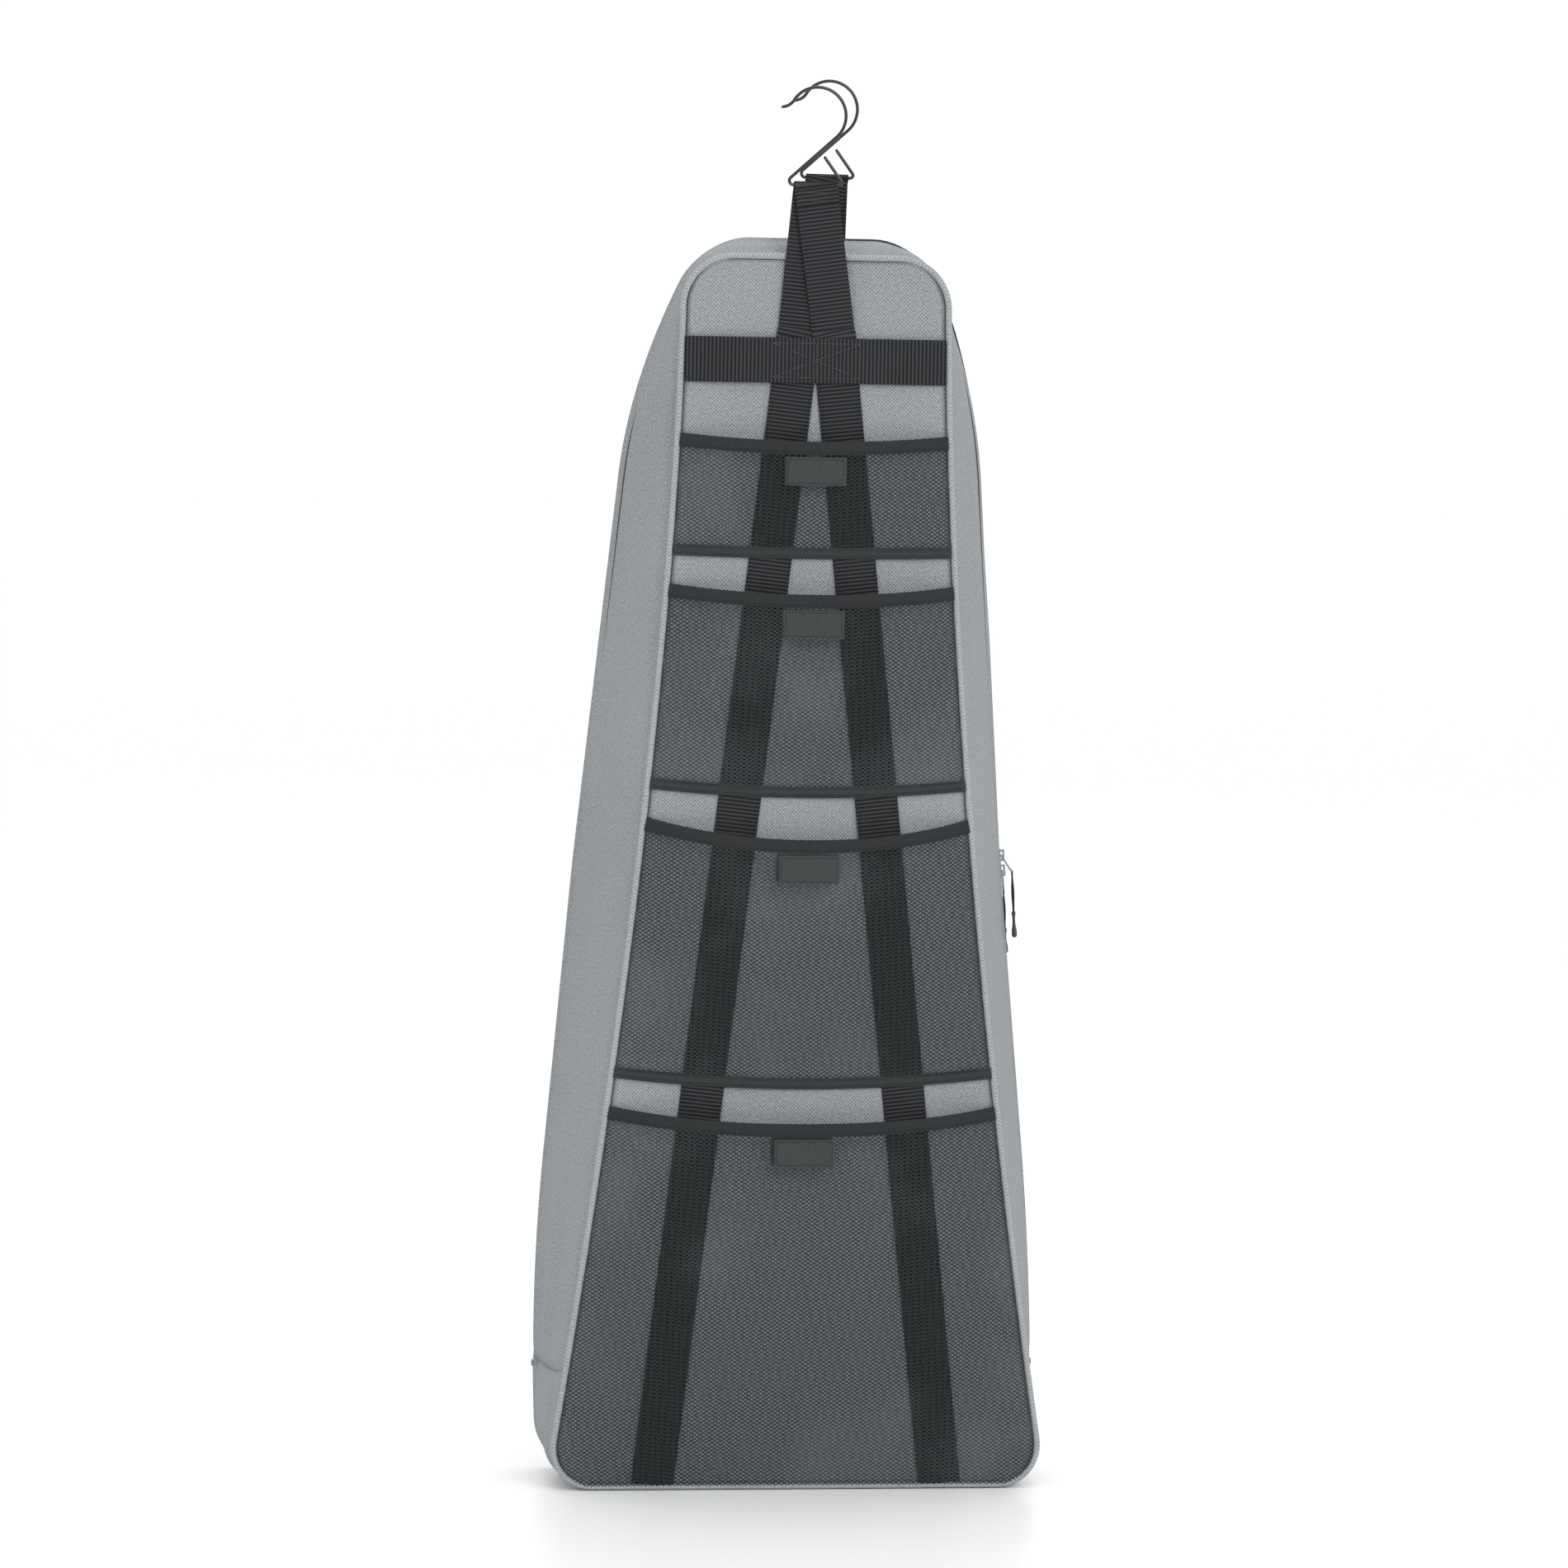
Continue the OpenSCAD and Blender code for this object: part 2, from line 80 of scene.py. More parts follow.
def nearHalf(z):
    # half width of the near panel: a straight top that flares by a power of the drop
    return bag["topHalf"] + bag["flare"] * np.maximum(0, (1060 - z) / 1000) ** 1.6


def farHalf(z):
    # half width at the zip: a straight taper, pulled in by squares of the height near both ends
    return (bag["zipHalf"] + 0.0894 * (bag["meetZ"] - z)
            - 0.0011 * np.maximum(0, z - 900) ** 2 - 0.00025 * np.maximum(0, 290 - z) ** 2)


def farY(z):
    # outer face of the far panel, with the bend at mid height softened
    z = np.asarray(z, float)
    d = z - bag["meetZ"]
    soft = 9.0
    up = np.where(d > soft, d, np.where(d < -soft, 0, (d + soft) ** 2 / (4 * soft)))
    down = up - d
    return (bag["nearY"] + bag["depth"] - 0.147 * up - 0.0444 * down
            - 0.000443 * np.maximum(0, z - 900) ** 2 - 0.000326 * np.maximum(0, 290 - z) ** 2)


def strapX(z):
    # middle of a slanted strap, on a straight line to the apex
    return web["spread"] * (web["apexZ"] - z) / web["apexZ"]


def cornerDrop(z, low, high, lowR, highR):
    # how far a rounded corner pulls the side in
    a = np.clip((low + lowR - z) / lowR, 0, 1)
    b = np.clip((z - high + highR) / highR, 0, 1)
    return lowR * (1 - np.sqrt(1 - a * a)) + highR * (1 - np.sqrt(1 - b * b))


def insideHalf(z):
    return (nearHalf(z) - 3.2
            - cornerDrop(z, bag["rimZ"], bag["nearTop"], bag["baseR"], bag["nearTopR"]))


def halfRing(half, top, topR):
    # right half of an outline from the middle of the floor to the middle of the top
    low = bag["rimZ"]
    a = np.radians(np.arange(0, 90, 7.5))
    zc = low + bag["baseR"] * (1 - np.cos(a))
    corner = np.stack([half(zc) - bag["baseR"] * (1 - np.sin(a)), zc], 1)
    floorX = np.linspace(0, corner[0, 0], 14, endpoint=False)
    side = np.concatenate([
        np.linspace(low + bag["baseR"], bag["foldZ"], 10, endpoint=False),
        np.linspace(bag["foldZ"], 900, 150, endpoint=False),
        np.linspace(900, top - topR, 32)])
    b = np.radians(np.arange(7.5, 90.1, 7.5))
    zt = top - topR * (1 - np.sin(b))
    shoulder = np.stack([half(zt) - topR * (1 - np.cos(b)), zt], 1)
    topX = np.linspace(shoulder[-1, 0], 0, 15)[1:]
    return np.concatenate([
        np.stack([floorX, np.full_like(floorX, low)], 1), corner,
        np.stack([half(side), side], 1), shoulder,
        np.stack([topX, np.full_like(topX, top)], 1)])


def wholeRing(half):
    left = half[-2:0:-1] * (-1, 1)
    return np.concatenate([half, left])


def ringNormals(ring, smooth=3):
    t = np.roll(ring, -1, 0) - np.roll(ring, 1, 0)
    n = np.stack([t[:, 1], -t[:, 0]], 1)
    n /= np.linalg.norm(n, axis=1)[:, None]
    for _ in range(smooth):
        n = n + np.roll(n, 1, 0) + np.roll(n, -1, 0)
        n /= np.linalg.norm(n, axis=1)[:, None]
    return n


nearRing = wholeRing(halfRing(nearHalf, bag["nearTop"], bag["nearTopR"]))
farRing = wholeRing(halfRing(farHalf, bag["farTop"], bag["farTopR"]))
nearN, farN = ringNormals(nearRing), ringNormals(farRing)
ringCount = len(farRing)
foldAt = 14 + 12 + 10  # ring point at the fold


def outward(normals, i):
    # outline directions at some ring points, laid into space
    n = normals[np.asarray(i) % ringCount]
    return np.stack([n[:, 0], np.zeros(len(n)), n[:, 1]], 1)


def byNear(i, y, v):
    # point i of the near outline, v mm outside it, at depth y
    i = np.asarray(i) % ringCount
    p = nearRing[i] + np.asarray(v)[..., None] * nearN[i]
    return np.stack([p[..., 0], np.broadcast_to(y, p[..., 0].shape), p[..., 1]], -1)


def byZip(i, u, v):
    # point i of the far outline, v mm outside it, u mm behind the line of the zip
    i = np.asarray(i) % ringCount
    q = farRing[i]
    p = q + np.asarray(v)[..., None] * farN[i]
    return np.stack([p[..., 0], farY(q[..., 1]) - bag["zipInset"] + u, p[..., 1]], -1)


def ripple(a, b, seed, waves=5, lowest=1.0, highest=4.0):
    # smooth seeded noise over two coordinates, about -1 to 1: a sum of slanted sine waves
    r = np.random.default_rng(seed)
    total = 0
    for _ in range(waves):
        fa, fb = r.uniform(lowest, highest, 2) * r.choice([-1, 1], 2)
        total = total + np.sin(fa * a + fb * b + r.uniform(0, 6.28))
    return total / math.sqrt(waves)


def meshObject(name, verts, faces, loopUv=None, smooth=True):
    me = bpy.data.meshes.new(name)
    faces = np.asarray(faces)
    k = faces.shape[1]
    me.vertices.add(len(verts))
    me.vertices.foreach_set("co", (np.asarray(verts) * mm).astype(np.float32).ravel())
    me.loops.add(faces.size)
    me.loops.foreach_set("vertex_index", faces.astype(np.int32).ravel())
    me.polygons.add(len(faces))
    me.polygons.foreach_set("loop_start", np.arange(0, faces.size, k, dtype=np.int32))
    me.polygons.foreach_set("use_smooth", np.full(len(faces), smooth))
    if loopUv is not None:
        layer = me.uv_layers.new(name="UVMap")
        layer.data.foreach_set("uv", (np.asarray(loopUv) * mm).astype(np.float32).ravel())
    me.update(calc_edges=True)
    me.validate()
    o = bpy.data.objects.new(name, me)
    bpy.context.scene.collection.objects.link(o)
    return o


def arcLength(points):
    step = np.linalg.norm(np.diff(points, axis=0), axis=1)
    return np.concatenate([[0], np.cumsum(step)])


def gridFaces(n, m, base=0):
    i, j = np.meshgrid(np.arange(n - 1), np.arange(m - 1), indexing="ij")
    a = (i * m + j).ravel() + base
    return np.stack([a, a + m, a + m + 1, a + 1], 1)


def gridObject(name, grid, toward, thick=0.0, uv=None, painted_crease_shade=None):
    # an open sheet whose faces look towards `toward`; Solidify gives it its thickness inwards
    grid = np.asarray(grid, float)
    n, m = grid.shape[:2]
    if uv is None:
        along = arcLength(grid[:, m // 2])[:, None] * np.ones((1, m))
        across = np.concatenate([np.zeros((n, 1)),
                                 np.cumsum(np.linalg.norm(np.diff(grid, axis=1), axis=2), 1)], 1)
        across = across - across[:, m // 2:m // 2 + 1]
        uv = np.stack([across, along], -1)
    faces = gridFaces(n, m)
    p = grid.reshape(-1, 3)
    normal = np.cross(p[faces[:, 1]] - p[faces[:, 0]], p[faces[:, 3]] - p[faces[:, 0]])
    look = np.broadcast_to(toward, grid.shape).reshape(-1, 3)[faces[:, 0]]
    if (normal * look).sum() < 0:
        faces = faces[:, ::-1]
    o = meshObject(name, p, faces, uv.reshape(-1, 2)[faces.ravel()])
    # per-point painted crease shade, read by the cloth material
    if painted_crease_shade is not None:
        layer = o.data.attributes.new("Seam", "FLOAT", "POINT")
        layer.data.foreach_set("value", np.broadcast_to(painted_crease_shade, grid.shape[:2]).astype(np.float32).ravel())
    if thick:
        s = o.modifiers.new("Thickness", "SOLIDIFY")
        s.thickness = thick * mm
        s.offset = -1
    return o


def frames(points, out):
    # tangents, outward and sideways directions along a path
    t = np.gradient(points, axis=0)
    t /= np.linalg.norm(t, axis=1)[:, None]
    out = np.broadcast_to(out, points.shape).astype(float)
    out = out - (out * t).sum(1)[:, None] * t
    out /= np.linalg.norm(out, axis=1)[:, None]
    return t, out, np.cross(out, t)


def sweepParts(points, out, profile, closed=False, caps=True):
    # profile (k, 2) or (n, k, 2): sideways and outward; gives vertices, quads and loop coordinates
    t, o, s = frames(points, out)
    if closed:
        t = np.roll(points, -1, 0) - np.roll(points, 1, 0)
        t /= np.linalg.norm(t, axis=1)[:, None]
        o = np.broadcast_to(out, points.shape).astype(float)
        o = o - (o * t).sum(1)[:, None] * t
        o /= np.linalg.norm(o, axis=1)[:, None]
        s = np.cross(o, t)
    profile = np.asarray(profile, float)
    if profile.ndim == 2:
        profile = np.broadcast_to(profile, (len(points),) + profile.shape)
    n, k = profile.shape[:2]
    verts = points[:, None] + s[:, None] * profile[..., :1] + o[:, None] * profile[..., 1:]
    rows = n if closed else n - 1
    i, j = np.meshgrid(np.arange(rows), np.arange(k), indexing="ij")
    i, j = i.ravel(), j.ravel()
    i2, j2 = (i + 1) % n, (j + 1) % k
    quads = np.stack([i * k + j, i * k + j2, i2 * k + j2, i2 * k + j], 1)
    length = arcLength(points)
    if closed:
        length = np.append(length, length[-1] + np.linalg.norm(points[0] - points[-1]))
    ring = np.concatenate([profile[0], profile[0][:1]])
    around = arcLength(ring)
    uv = np.stack([
        np.stack([around[j], length[i]], 1), np.stack([around[j + 1], length[i]], 1),
        np.stack([around[j + 1], length[i + 1]], 1), np.stack([around[j], length[i + 1]], 1)], 1)
    verts = verts.reshape(-1, 3)
    if caps and not closed:
        # a cap is a fan of quads to a centre strip: pairs of rim points
        h = k // 2
        a = np.arange(h - 1)
        first = np.stack([a, (k - 1 - a) % k, (k - 2 - a) % k, a + 1], 1)
        last = first[:, ::-1] + (n - 1) * k
        capUv = profile[0][first.ravel() % k].reshape(-1, 4, 2)
        capUv2 = profile[-1][first[:, ::-1].ravel() % k].reshape(-1, 4, 2)
        quads = np.concatenate([quads, first, last])
        uv = np.concatenate([uv, capUv, capUv2])
    return verts, quads, uv


def sweepObject(name, points, out, profile, closed=False, caps=True):
    v, q, uv = sweepParts(np.asarray(points, float), out, profile, closed, caps)
    return meshObject(name, v, q, uv.reshape(-1, 2))


def joined(name, parts):
    # several (vertices, quads, loop coordinates) sets as one object
    base, vs, qs, us = 0, [], [], []
    for v, q, uv in parts:
        vs.append(v)
        qs.append(q + base)
        us.append(uv.reshape(-1, 2))
        base += len(v)
    return meshObject(name, np.concatenate(vs), np.concatenate(qs), np.concatenate(us))


def roundRect(w, t, r, steps=3):
    # closed profile of a flat strip with rounded edges, starting at a side edge, even count
    r = min(r, t / 2)
    pts = []
    for cx, cy, a0 in ((w / 2 - r, -t / 2 + r, -90), (w / 2 - r, t / 2 - r, 0),
                       (-w / 2 + r, t / 2 - r, 90), (-w / 2 + r, -t / 2 + r, 180)):
        for s in range(steps + 1):
            a = math.radians(a0 + 90 * s / steps)
            pts.append((cx + r * math.cos(a), cy + r * math.sin(a)))
    return np.array(pts)


def disc(r, k=12):
    a = np.arange(k) * 2 * math.pi / k
    return np.stack([r * np.cos(a), r * np.sin(a)], 1)


def stitchParts(path, out, pitch=3.2, length=2.3, r=0.28, lift=0.1):
    # short thread bars laid along a path: each has three rings of six points
    path = np.asarray(path, float)
    s = arcLength(path)
    count = max(2, int(s[-1] / pitch))
    mids = (np.arange(count) + 0.5) * s[-1] / count
    outs = np.broadcast_to(out, path.shape)
    at = lambda d, f: np.stack([np.interp(d, s, f[:, c]) for c in range(3)], 1)
    o = at(mids, outs)
    o /= np.linalg.norm(o, axis=1)[:, None]
    rings = []
    for f, rr, up in ((-0.5, 0.35, -0.12), (-0.25, 1, 0.1), (0.25, 1, 0.1), (0.5, 0.35, -0.12)):
        p = at(mids + f * length, path)
        tan = at(mids + 0.3, path) - at(mids - 0.3, path)
        tan /= np.linalg.norm(tan, axis=1)[:, None]
        side = np.cross(o, tan)
        a = np.arange(6) * math.pi / 3
        ring = (p + o * (lift + up))[:, None] + rr * r * (
            side[:, None] * np.cos(a)[None, :, None] + o[:, None] * np.sin(a)[None, :, None])
        rings.append(ring)
    verts = np.stack(rings, 1).reshape(-1, 3)
    j = np.arange(6)
    unit = np.concatenate([np.stack([b * 6 + j, b * 6 + (j + 1) % 6, (b + 1) * 6 + (j + 1) % 6,
                                     (b + 1) * 6 + j], 1) for b in range(3)])
    unit = np.concatenate([unit, [[0, 5, 4, 1], [1, 4, 3, 2], [19, 22, 23, 18], [20, 21, 22, 19]]])
    quads = (unit[None] + (np.arange(count) * 24)[:, None, None]).reshape(-1, 4)
    uv = np.tile(np.array([[0, 0], [1, 0], [1, 1], [0, 1]], float), (len(quads), 1, 1))
    return verts, quads, uv


def nodeIn(tree, kind, **settings):
    n = tree.nodes.new(kind)
    for key, value in settings.items():
        setattr(n, key, value)
    return n


def group(name, inputs, outputs):
    g = bpy.data.node_groups.new(name, "ShaderNodeTree")
    for label, kind, default in inputs:
        s = g.interface.new_socket(label, in_out="INPUT", socket_type=kind)
        if default is not None:
            s.default_value = default
    for label in outputs:
        g.interface.new_socket(label, in_out="OUTPUT", socket_type="NodeSocketFloat")
    return g, nodeIn(g, "NodeGroupInput"), nodeIn(g, "NodeGroupOutput")


def calc(tree, op, a, b=None, c=None):
    n = nodeIn(tree, "ShaderNodeMath", operation=op)
    for k, x in enumerate((a, b, c)):
        if x is None:
            continue
        if isinstance(x, (int, float)):
            n.inputs[k].default_value = x
        else:
            tree.links.new(x, n.inputs[k])
    return n.outputs[0]


def wovenGroup():
    # plain weave: half plus three quarters of sin(u) sin(v), held between 0 and 1; noise gives the slub
    g, i, o = group("Plain weave", [("Vector", "NodeSocketVector", None),
                                    ("Threads per metre", "NodeSocketFloat", 1100.0),
                                    ("Slub", "NodeSocketFloat", 0.4)], ["Height", "Tone"])
    sep = nodeIn(g, "ShaderNodeSeparateXYZ")
    noise = nodeIn(g, "ShaderNodeTexNoise")
    noise.inputs["Scale"].default_value = 240
    noise.inputs["Detail"].default_value = 2
    g.links.new(i.outputs["Vector"], sep.inputs[0])
    g.links.new(i.outputs["Vector"], noise.inputs["Vector"])
    wob = calc(g, "MULTIPLY", calc(g, "SUBTRACT", noise.outputs[0], 0.5), i.outputs["Slub"])
    k = calc(g, "MULTIPLY", i.outputs["Threads per metre"], 3.14159)
    u = calc(g, "SINE", calc(g, "ADD", calc(g, "MULTIPLY", sep.outputs[0], k), wob))
    v = calc(g, "SINE", calc(g, "ADD", calc(g, "MULTIPLY", sep.outputs[1], k), wob))
    both = calc(g, "MULTIPLY", u, v)
    held = calc(g, "MAXIMUM", 0.0, calc(g, "MULTIPLY_ADD", both, 0.75, 0.5))
    g.links.new(calc(g, "SMOOTH_MIN", 1.0, held, 0.1), o.inputs["Height"])
    slub = nodeIn(g, "ShaderNodeTexNoise")
    slub.inputs["Scale"].default_value = 430
    slub.inputs["Detail"].default_value = 3
    g.links.new(i.outputs["Vector"], slub.inputs["Vector"])
    g.links.new(slub.outputs[0], o.inputs["Tone"])
    return g


def ribbedGroup():
    # webbing: ribs across the strip at a pitch, broken into columns that sit half a rib apart
    g, i, o = group("Webbing ribs", [("Vector", "NodeSocketVector", None),
                                     ("Rib pitch", "NodeSocketFloat", 0.0023),
                                     ("Column pitch", "NodeSocketFloat", 0.0012),
                                     ("Offset", "NodeSocketFloat", 0.08)], ["Height", "Groove", "PaintedKnuckleHighlight"])
    sep = nodeIn(g, "ShaderNodeSeparateXYZ")
    g.links.new(i.outputs["Vector"], sep.inputs[0])
    col = calc(g, "DIVIDE", sep.outputs[0], i.outputs["Column pitch"])
    odd = calc(g, "MULTIPLY", calc(g, "MODULO", calc(g, "FLOOR", calc(g, "ADD", col, 4000.0)), 2.0),
               i.outputs["Offset"])
    row = calc(g, "ADD", calc(g, "DIVIDE", sep.outputs[1], i.outputs["Rib pitch"]), odd)
    rib = calc(g, "ABSOLUTE", calc(g, "SINE", calc(g, "MULTIPLY", row, 3.14159)))
    rib = calc(g, "POWER", rib, 1.5)
    thread = calc(g, "ABSOLUTE", calc(g, "SINE", calc(g, "MULTIPLY", col, 3.14159)))
    height = calc(g, "MULTIPLY", rib, calc(g, "MULTIPLY_ADD", thread, 0.25, 0.75))
    g.links.new(height, o.inputs["Height"])
    g.links.new(calc(g, "SUBTRACT", 1.0, height), o.inputs["Groove"])
    # the knuckle mask marks where a painted highlight goes, on the rib crowns over the thread columns
    g.links.new(calc(g, "MULTIPLY", calc(g, "POWER", rib, 5.0), calc(g, "POWER", thread, 2.0)),
                o.inputs["PaintedKnuckleHighlight"])
    return g


def dustGroup():
    # slow blotches and fine lint: one noise each, the lint kept only where its noise is high
    g, i, o = group("Lint and blotches", [("Vector", "NodeSocketVector", None),
                                          ("Blotch scale", "NodeSocketFloat", 9.0),
                                          ("Lint scale", "NodeSocketFloat", 420.0)],
                    ["Blotch", "Lint"])
    for label, source, detail in (("Blotch", "Blotch scale", 4), ("Lint", "Lint scale", 2)):
        n = nodeIn(g, "ShaderNodeTexNoise")
        n.inputs["Detail"].default_value = detail
        g.links.new(i.outputs["Vector"], n.inputs["Vector"])
        g.links.new(i.outputs[source], n.inputs["Scale"])
        out = n.outputs[0]
        if label == "Lint":
            r = nodeIn(g, "ShaderNodeMapRange")
            r.inputs["From Min"].default_value = 0.66
            r.inputs["From Max"].default_value = 0.8
            g.links.new(out, r.inputs[0])
            out = r.outputs[0]
        g.links.new(out, o.inputs[label])
    return g


def wearGroup():
    # scuffs and grain of metal and moulded pieces: one noise at two scales
    g, i, o = group("Handled wear", [("Vector", "NodeSocketVector", None),
                                     ("Scale", "NodeSocketFloat", 600.0)], ["Scuff", "Grain"])
    for label, f in (("Scuff", 1.0), ("Grain", 5.0)):
        n = nodeIn(g, "ShaderNodeTexNoise")
        n.inputs["Detail"].default_value = 4
        g.links.new(i.outputs["Vector"], n.inputs["Vector"])
        g.links.new(calc(g, "MULTIPLY", i.outputs["Scale"], f), n.inputs["Scale"])
        g.links.new(n.outputs[0], o.inputs[label])
    return g


woven, ribbed, dust, wear = wovenGroup(), ribbedGroup(), dustGroup(), wearGroup()


def startMaterial(name, roughness, specular=0.5, sheen=0.0, metallic=0.0, coat=0.0):
    m = bpy.data.materials.new(name)
    m.use_nodes = True
    t = m.node_tree
    b = t.nodes["Principled BSDF"]
    b.inputs["Roughness"].default_value = roughness
    b.inputs["Specular IOR Level"].default_value = specular
    b.inputs["Sheen Weight"].default_value = sheen
    b.inputs["Sheen Roughness"].default_value = 0.4
    b.inputs["Metallic"].default_value = metallic
    b.inputs["Coat Weight"].default_value = coat
    return m, t, b


def mixTone(t, a, b, factor):
    n = nodeIn(t, "ShaderNodeMix", data_type="RGBA")
    for socket, x in ((n.inputs[6], a), (n.inputs[7], b)):
        if isinstance(x, tuple):
            socket.default_value = (*x, 1)
        else:
            t.links.new(x, socket)
    if isinstance(factor, (int, float)):
        n.inputs[0].default_value = factor
    else:
        t.links.new(factor, n.inputs[0])
    return n.outputs[2]


def bumpInto(t, b, height, distance, strength=1.0, before=None):
    n = nodeIn(t, "ShaderNodeBump")
    n.inputs["Distance"].default_value = distance
    n.inputs["Strength"].default_value = strength
    t.links.new(height, n.inputs["Height"])
    if before is not None:
        t.links.new(before, n.inputs["Normal"])
    t.links.new(n.outputs[0], b.inputs["Normal"])
    return n.outputs[0]


def useGroup(t, g, vector, **values):
    n = nodeIn(t, "ShaderNodeGroup", node_tree=g)
    t.links.new(vector, n.inputs["Vector"])
    for key, value in values.items():
        n.inputs[key.replace("_", " ")].default_value = value
    return n


def clothMaterial(name, light, dark, threads, relief, roughness=0.85, sheen=0.15, blotch=0.35, painted_sheen=0.0):
    # woven cloth: weave relief, thread tone between two colours with painted shade in the weave's hollows,
    # slow blotches, pale lint, painted shade along creases, and for shiny threads a painted sheen highlight
    # as a slow paler bloom where the blotch noise is high
    m, t, b = startMaterial(name, roughness, 0.16, sheen)
    uv = nodeIn(t, "ShaderNodeUVMap", uv_map="UVMap")
    obj = nodeIn(t, "ShaderNodeTexCoord")
    w = useGroup(t, woven, uv.outputs[0], Threads_per_metre=threads)
    d = useGroup(t, dust, obj.outputs["Object"])
    # the weave's low points take the dark colour, which is painted shade between the threads; the slub noise
    # varies the tone at random
    tone = calc(t, "MULTIPLY_ADD", w.outputs["Height"], 0.5,
                calc(t, "MULTIPLY_ADD", w.outputs["Tone"], 0.9, -0.2))
    colour = mixTone(t, dark, light, tone)
    shade = tuple(c * (1 - blotch * 0.35) for c in light)
    colour = mixTone(t, colour, shade, calc(t, "MULTIPLY", d.outputs["Blotch"], blotch))
    # painted shade in the creases: the colour darkens towards a fifth of the light tone where the crease
    # attribute is high
    painted_crease_shade = nodeIn(t, "ShaderNodeAttribute", attribute_name="Seam")
    colour = mixTone(t, colour, tuple(c * 0.2 for c in light), calc(t, "MULTIPLY", painted_crease_shade.outputs["Fac"], 0.9))
    pale = tuple(min(1, c * 1.5 + 0.02) for c in light)
    colour = mixTone(t, colour, pale, calc(t, "MULTIPLY", d.outputs["Lint"], 0.25))
    if painted_sheen:
        # painted sheen highlight: a slow bloom up to about three times the light tone where the blotch noise
        # is high
        painted_sheen_bloom = calc(t, "MAXIMUM", calc(t, "MULTIPLY_ADD", d.outputs["Blotch"], 4.0, -2.0), 0.0)
        colour = mixTone(t, colour, tuple(c * 3.2 for c in light), calc(t, "MULTIPLY", painted_sheen_bloom, painted_sheen))
    t.links.new(colour, b.inputs["Base Color"])
    t.links.new(calc(t, "MULTIPLY_ADD", d.outputs["Blotch"], 0.12, roughness - 0.06), b.inputs["Roughness"])
    creases = nodeIn(t, "ShaderNodeTexNoise")
    creases.inputs["Scale"].default_value = 16
    creases.inputs["Detail"].default_value = 3
    t.links.new(obj.outputs["Object"], creases.inputs["Vector"])
    first = bumpInto(t, b, creases.outputs[0], 0.008, 0.45)
    bumpInto(t, b, w.outputs["Height"], relief, 0.8, first)
    return m


def webbingMaterial(name, light, dark, pitch, column, relief=0.0004, roughness=0.62, painted_knuckle_highlight=0.0):
    # ribbed strip: crowns lighter and smoother than the grooves, the darker grooves being painted shade; a
    # painted highlight on the knuckles; fine fibre noise over both
    m, t, b = startMaterial(name, roughness, 0.06)
    uv = nodeIn(t, "ShaderNodeUVMap", uv_map="UVMap")
    obj = nodeIn(t, "ShaderNodeTexCoord")
    r = useGroup(t, ribbed, uv.outputs[0], Rib_pitch=pitch, Column_pitch=column)
    d = useGroup(t, dust, obj.outputs["Object"], Blotch_scale=14.0)
    # the grooves take the dark colour and the crowns the light one: painted shade in the grooves
    colour = mixTone(t, dark, light, r.outputs["Height"])
    # knuckles get a painted highlight; blotches and lint are paler tone in the cloth itself
    for n, output, brighter, lift, share in ((r, "PaintedKnuckleHighlight", 3.4, 0, painted_knuckle_highlight), (d, "Blotch", 1.35, 0, 0.3),
                                             (d, "Lint", 4, 0.03, 0.12)):
        pale = tuple(c * brighter + lift for c in light)
        colour = mixTone(t, colour, pale, calc(t, "MULTIPLY", n.outputs[output], share))
    t.links.new(colour, b.inputs["Base Color"])
    t.links.new(calc(t, "MULTIPLY_ADD", r.outputs["Groove"], 0.25, roughness), b.inputs["Roughness"])
    bumpInto(t, b, r.outputs["Height"], relief, 1.0)
    return m


def hardMaterial(name, colour, roughness, metallic=0.0, coat=0.0, scuff=0.12, scale=500.0, relief=0.00004):
    # moulded or plated piece: scuffs lift the roughness, a fine grain gives the relief
    m, t, b = startMaterial(name, roughness, 0.5, 0, metallic, coat)
    obj = nodeIn(t, "ShaderNodeTexCoord")
    w = useGroup(t, wear, obj.outputs["Object"], Scale=scale)
    t.links.new(mixTone(t, colour, tuple(min(1, c * 1.5 + 0.02) for c in colour),
                        calc(t, "MULTIPLY", w.outputs["Scuff"], 0.4)), b.inputs["Base Color"])
    rough = calc(t, "MULTIPLY_ADD", w.outputs["Scuff"], scuff * 2, roughness - scuff)
    t.links.new(rough, b.inputs["Roughness"])
    bumpInto(t, b, w.outputs["Grain"], relief, 0.6)
    return m


